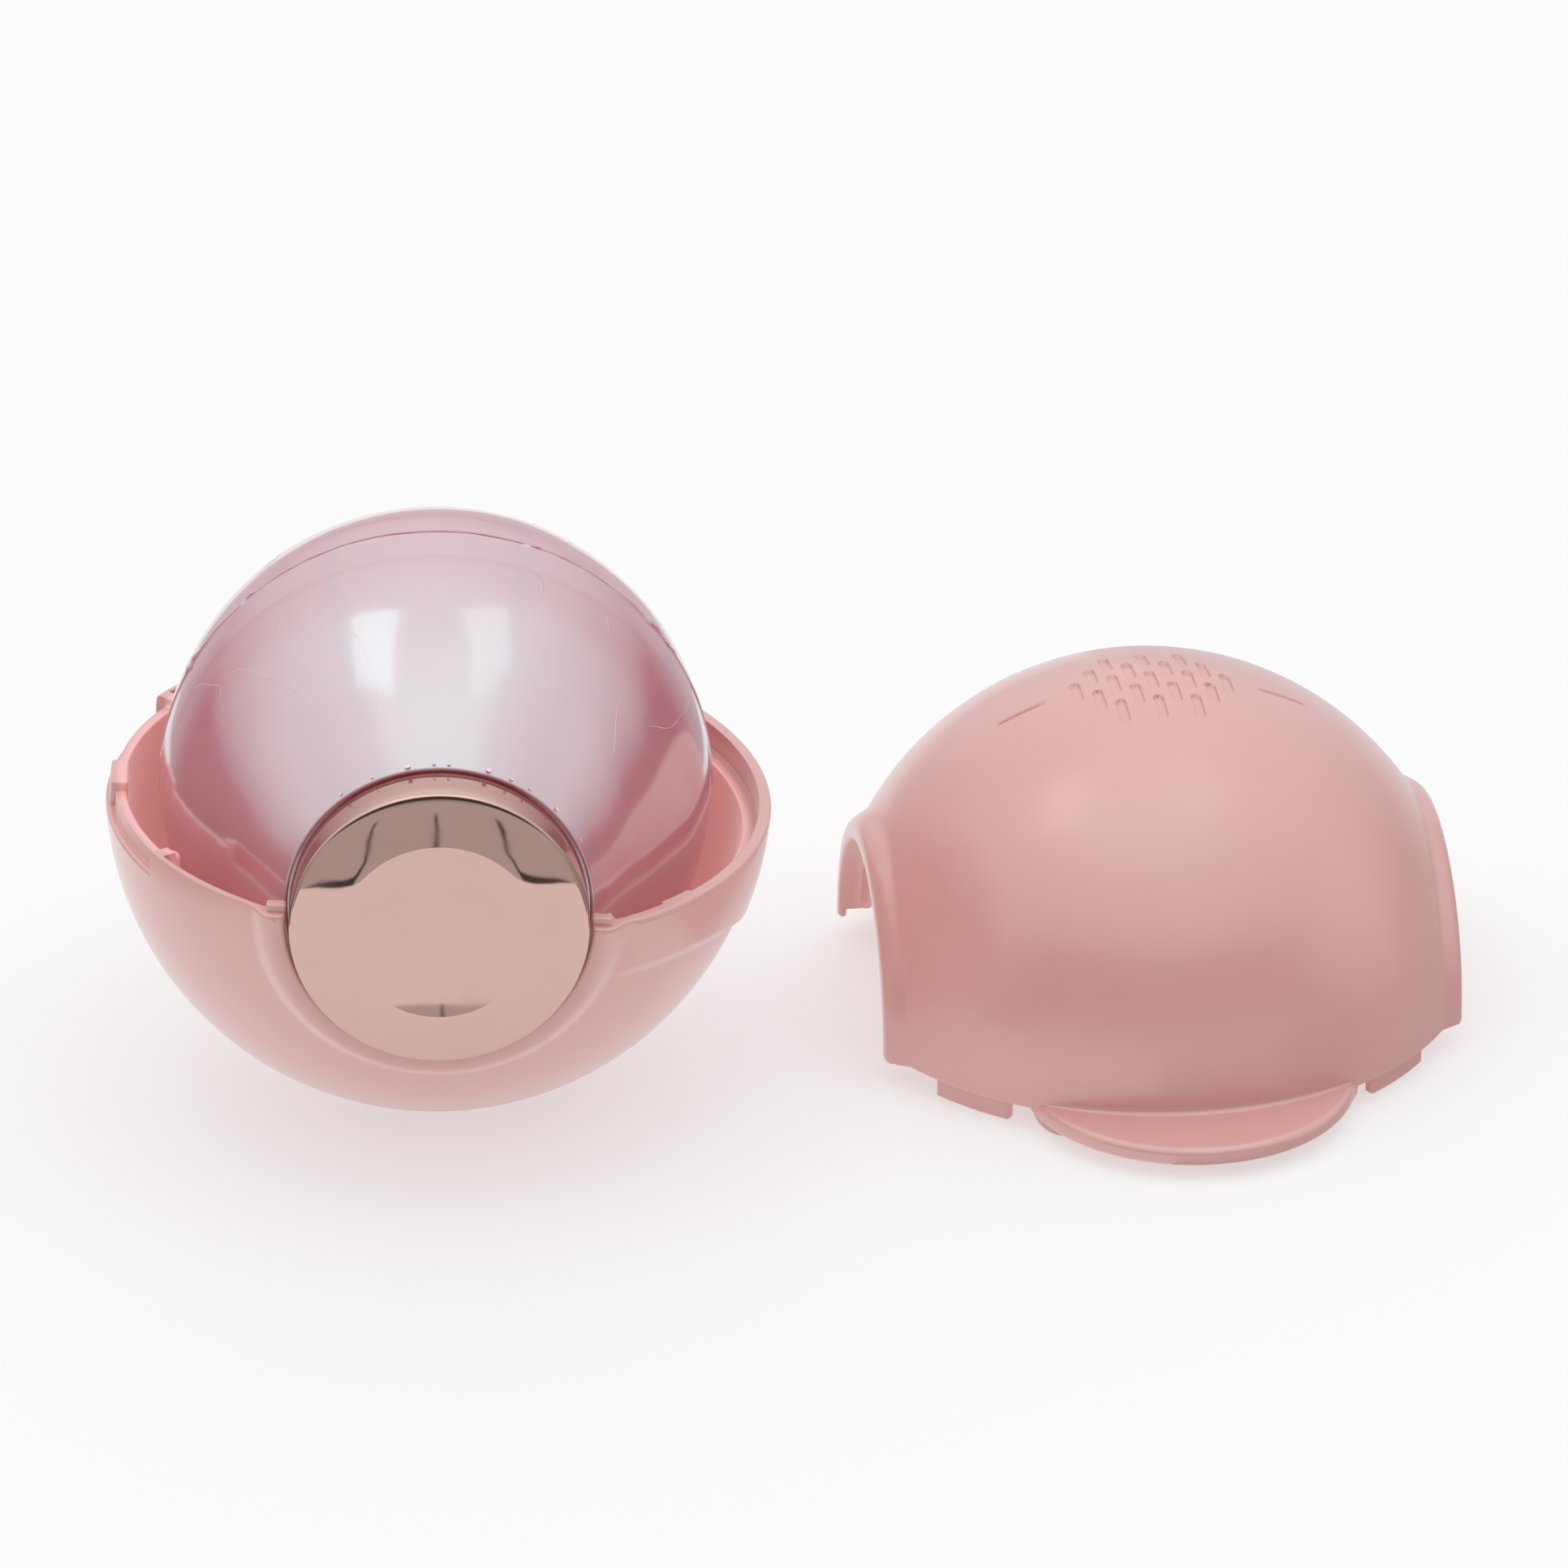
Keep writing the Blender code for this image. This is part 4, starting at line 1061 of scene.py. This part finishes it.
tubes = hair_patches(-1.0, FRONT_HAIRS)
hairs_front = make_piece("gel_hairs_front", tubes, ball_place, "ball", [])
tubes = hair_patches(1.0, REAR_HAIRS)
hairs_rear = make_piece("gel_hairs_rear", tubes, ball_place, "ball", [])

# %% [markdown]
# ## Finishes
#
# ### Satin pink plastic
#
# The shells are moulded in a soft-touch pink. The colour is even, with a very slight clouding, and
# the tool was lightly blasted, which leaves a grain too fine to see as bumps, but it spreads every
# highlight. The index is set at 2, above the 1.5 of bare plastic, because the shine in the
# photograph is that strong. A sheen makes the surface paler where it turns away from the eye. The
# wall is thin enough for light to come through, so the inside of the bowl is never dark: a faint
# rose emission stands in for that light.

# %% Satin pink plastic
def satin_pink(name, middle, glow):
    """Moulded satin plastic: two close pinks, clouded, with fine grain. The inside of the wall, which
    is the part near enough to the middle of the shell, glows faintly."""
    finish = Finish(name, IOR=2.0)
    ends = {0: finish.place, 1: middle}
    from_middle = finish.node("ShaderNodeVectorMath", {"operation": "DISTANCE"}, ends, out=1)
    inside = 1.0 - finish.ramp(from_middle / MM, 35.5, 36.6)
    cloud = finish.noise(55.0, 2.0)
    fine = finish.noise(5200.0, 2.0)
    tint = finish.ramp(cloud * 0.8 + fine * 0.2, 0.30, 0.70)
    finish.set({
        "Base Color": finish.blend(tint, (0.745, 0.388, 0.368), (0.765, 0.408, 0.388)),
        "Sheen Weight": 0.65,
        "Sheen Roughness": 0.35,
        "Emission Color": finish.blend(inside, (0.0, 0.0, 0.0), (0.20, 0.095, 0.09)),
        "Emission Strength": glow,
        "Roughness": finish.noise(160.0, 2.0) * 0.04 + 0.215,
        "Normal": finish.bump(fine, 0.006),
    })
    return finish.material


for piece, place, glow in ((bowl, bowl_place, 1.0), (cover, cover_place, 0.35)):
    piece.data.materials.append(satin_pink(f"satin_pink_{piece.name}", place.translation * MM, glow))
    print(piece.name, "wears", piece.data.materials[0].name)

# %% [markdown]
# ### Rose gel with pearl
#
# The gel is rose all through and holds a pearl pigment. Pearl flakes let rose through and throw back
# its complement, so under a pale ceiling the gel turns white with a hint of lilac, while its sides
# stay rose. A high index with a tinted specular does that, and a clear coat adds the wet gloss. The
# edge of the core and its ribs show faintly through the gel, and the mould's seam is a darker line
# with a faint painted glow.

# %% Rose gel with pearl
def pearl_gel(name):
    """Glossy rose gel: faint streaks and ribs along the profile, a darker ring at the core's edge, and
    a darker seam with a faint painted glow in its emission."""
    finish = Finish(name, IOR=4.2)
    finish.set({"Subsurface Weight": 0.3, "Subsurface Radius": (16.0, 4.0, 5.0), "Subsurface Scale": MM})
    axes = finish.node("ShaderNodeSeparateXYZ", {}, {0: finish.place}).socket.node.outputs
    x, y, z = (Signal(finish, axes[k]) for k in range(3))
    around = finish.node("ShaderNodeMath", {"operation": "ARCTAN2"}, {0: x, 1: z - BALL_HEIGHT * MM})
    streak_place = finish.node("ShaderNodeCombineXYZ", {}, {0: around * 4.0, 1: y * 14.0, 2: 0.3})
    streaks = finish.noise(1.0, 2.0, place=streak_place)
    clouds = finish.noise(60.0, 3.0)
    tint = finish.ramp(streaks * 0.5 + clouds * 0.5, 0.32, 0.68)
    rose = finish.blend(tint, (0.95, 0.225, 0.28), (0.97, 0.26, 0.32))
    from_seam = finish.node("ShaderNodeMath", {"operation": "ABSOLUTE"}, {0: y / MM})
    core_edge = finish.ramp(from_seam, 4.4, 5.2) * (1.0 - finish.ramp(from_seam, 5.2, 7.0))
    ribs = finish.node("ShaderNodeMath", {"operation": "COSINE"}, {0: around * 9.0 + 3.3})
    ribs = finish.ramp(ribs, 0.90, 0.995)
    rose = finish.blend(core_edge * 0.4, rose, (0.80, 0.13, 0.20))
    rose = finish.blend(ribs * 0.16, rose, (0.66, 0.20, 0.38))
    # the seam mask gives both the joint's darker colour and a painted glow in the emission
    seam = 1.0 - finish.ramp(from_seam, 0.30, 0.50)
    rose = finish.blend(seam * 0.6, rose, (0.66, 0.11, 0.18))
    finish.set({
        "Base Color": rose,
        "Roughness": finish.noise(220.0, 3.0) * 0.05 + 0.14,
        "Normal": finish.bump(finish.noise(420.0, 2.0), 0.012),
        "Specular Tint": (0.47, 1.0, 0.99, 1.0),
        "Coat Weight": 1.0,
        "Coat Roughness": 0.05,
        "Coat IOR": 1.5,
        # painted glow: the seam's emission lifts its dark line to a wine pink
        "Emission Color": finish.blend(seam, (0.0, 0.0, 0.0), (0.07, 0.018, 0.03)),
        "Emission Strength": 1.0,
    })
    return finish.material


def pale_mark(name, glow):
    """A bubble or a hair line: pale rose with a wet gloss, and a painted glow in its emission makes it
    brighter than the gel round it."""
    finish = Finish(name, IOR=1.5)
    cloud = finish.noise(900.0, 2.0)
    finish.set({
        "Base Color": finish.blend(cloud, (0.90, 0.62, 0.70), (0.94, 0.72, 0.78)),
        "Roughness": cloud * 0.10 + 0.12,
        # painted glow: this emission makes bubbles and hairs brighter than the light on them would
        "Emission Color": finish.blend(cloud, (0.24, 0.15, 0.17), (0.28, 0.18, 0.20)),
        "Emission Strength": glow,
    })
    return finish.material


for piece in (gel_front, gel_rear):
    piece.data.materials.append(pearl_gel(f"pearl_{piece.name}"))
    print(piece.name, "wears", piece.data.materials[0].name)
for piece, glow in ((bubbles_front, 0.6), (bubbles_rear, 0.6), (hairs_front, 0.15), (hairs_rear, 0.15)):
    piece.data.materials.append(pale_mark(f"pale_{piece.name}", glow))
    print(piece.name, "wears", piece.data.materials[0].name)

# %% [markdown]
# ### Rose-gold plate
#
# Metal shows only what it reflects, in its own tint, so the finish is little more than a base colour
# at full metallic and a very low roughness. Faint wiping marks dull it a little here and there.

# %% Rose-gold plate
def rose_gold(name):
    """Plated plastic: a bright mirror with the faintest haze where it has been wiped."""
    finish = Finish(name, Metallic=1.0)
    haze = finish.ramp(finish.noise(140.0, 4.0), 0.45, 0.75)
    finish.set({
        "Base Color": finish.blend(haze, (0.675, 0.455, 0.408), (0.660, 0.440, 0.395)),
        "Roughness": haze * 0.035 + 0.045,
    })
    return finish.material


for piece in (cap_front, cap_rear):
    piece.data.materials.append(rose_gold(f"rose_gold_{piece.name}"))
    print(piece.name, "wears", piece.data.materials[0].name)

# %% [markdown]
# ### The pieces that nobody sees
#
# The core, its bolt and its nut sit inside the gel. They keep their own solids, and only their
# material slots are filled: pale plastic, and drawn steel with fine marks along its length.

# %% The pieces that nobody sees
def core_plastic(name):
    """Glossy moulded plastic, pale and slightly clouded."""
    finish = Finish(name, Roughness=0.3, IOR=1.5)
    cloud = finish.noise(70.0, 2.0)
    finish.set({"Base Color": finish.blend(cloud, (0.78, 0.68, 0.72), (0.82, 0.72, 0.76))})
    return finish.material


def drawn_steel(name):
    """Steel with fine marks along the axis: noise that is stretched along Y."""
    finish = Finish(name, Metallic=1.0)
    scales = (3000.0, 90.0, 3000.0)
    stretch = finish.node("ShaderNodeMapping", {}, {"Vector": finish.place, "Scale": scales})
    marks = finish.noise(1.0, 3.0, place=stretch)
    finish.set({
        "Base Color": finish.blend(marks, (0.56, 0.56, 0.58), (0.66, 0.66, 0.67)),
        "Roughness": marks * 0.2 + 0.25,
    })
    return finish.material


hidden = {
    "core_half_front": core_plastic,
    "core_half_rear": core_plastic,
    "tie_bolt": drawn_steel,
    "tie_nut": drawn_steel,
}
for node, recipe in hidden.items():
    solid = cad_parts[node]
    made = recipe(f"finish_{node}")
    for material_slot in solid.material_slots:
        material_slot.material = made
    print(node, "wears", made.name)
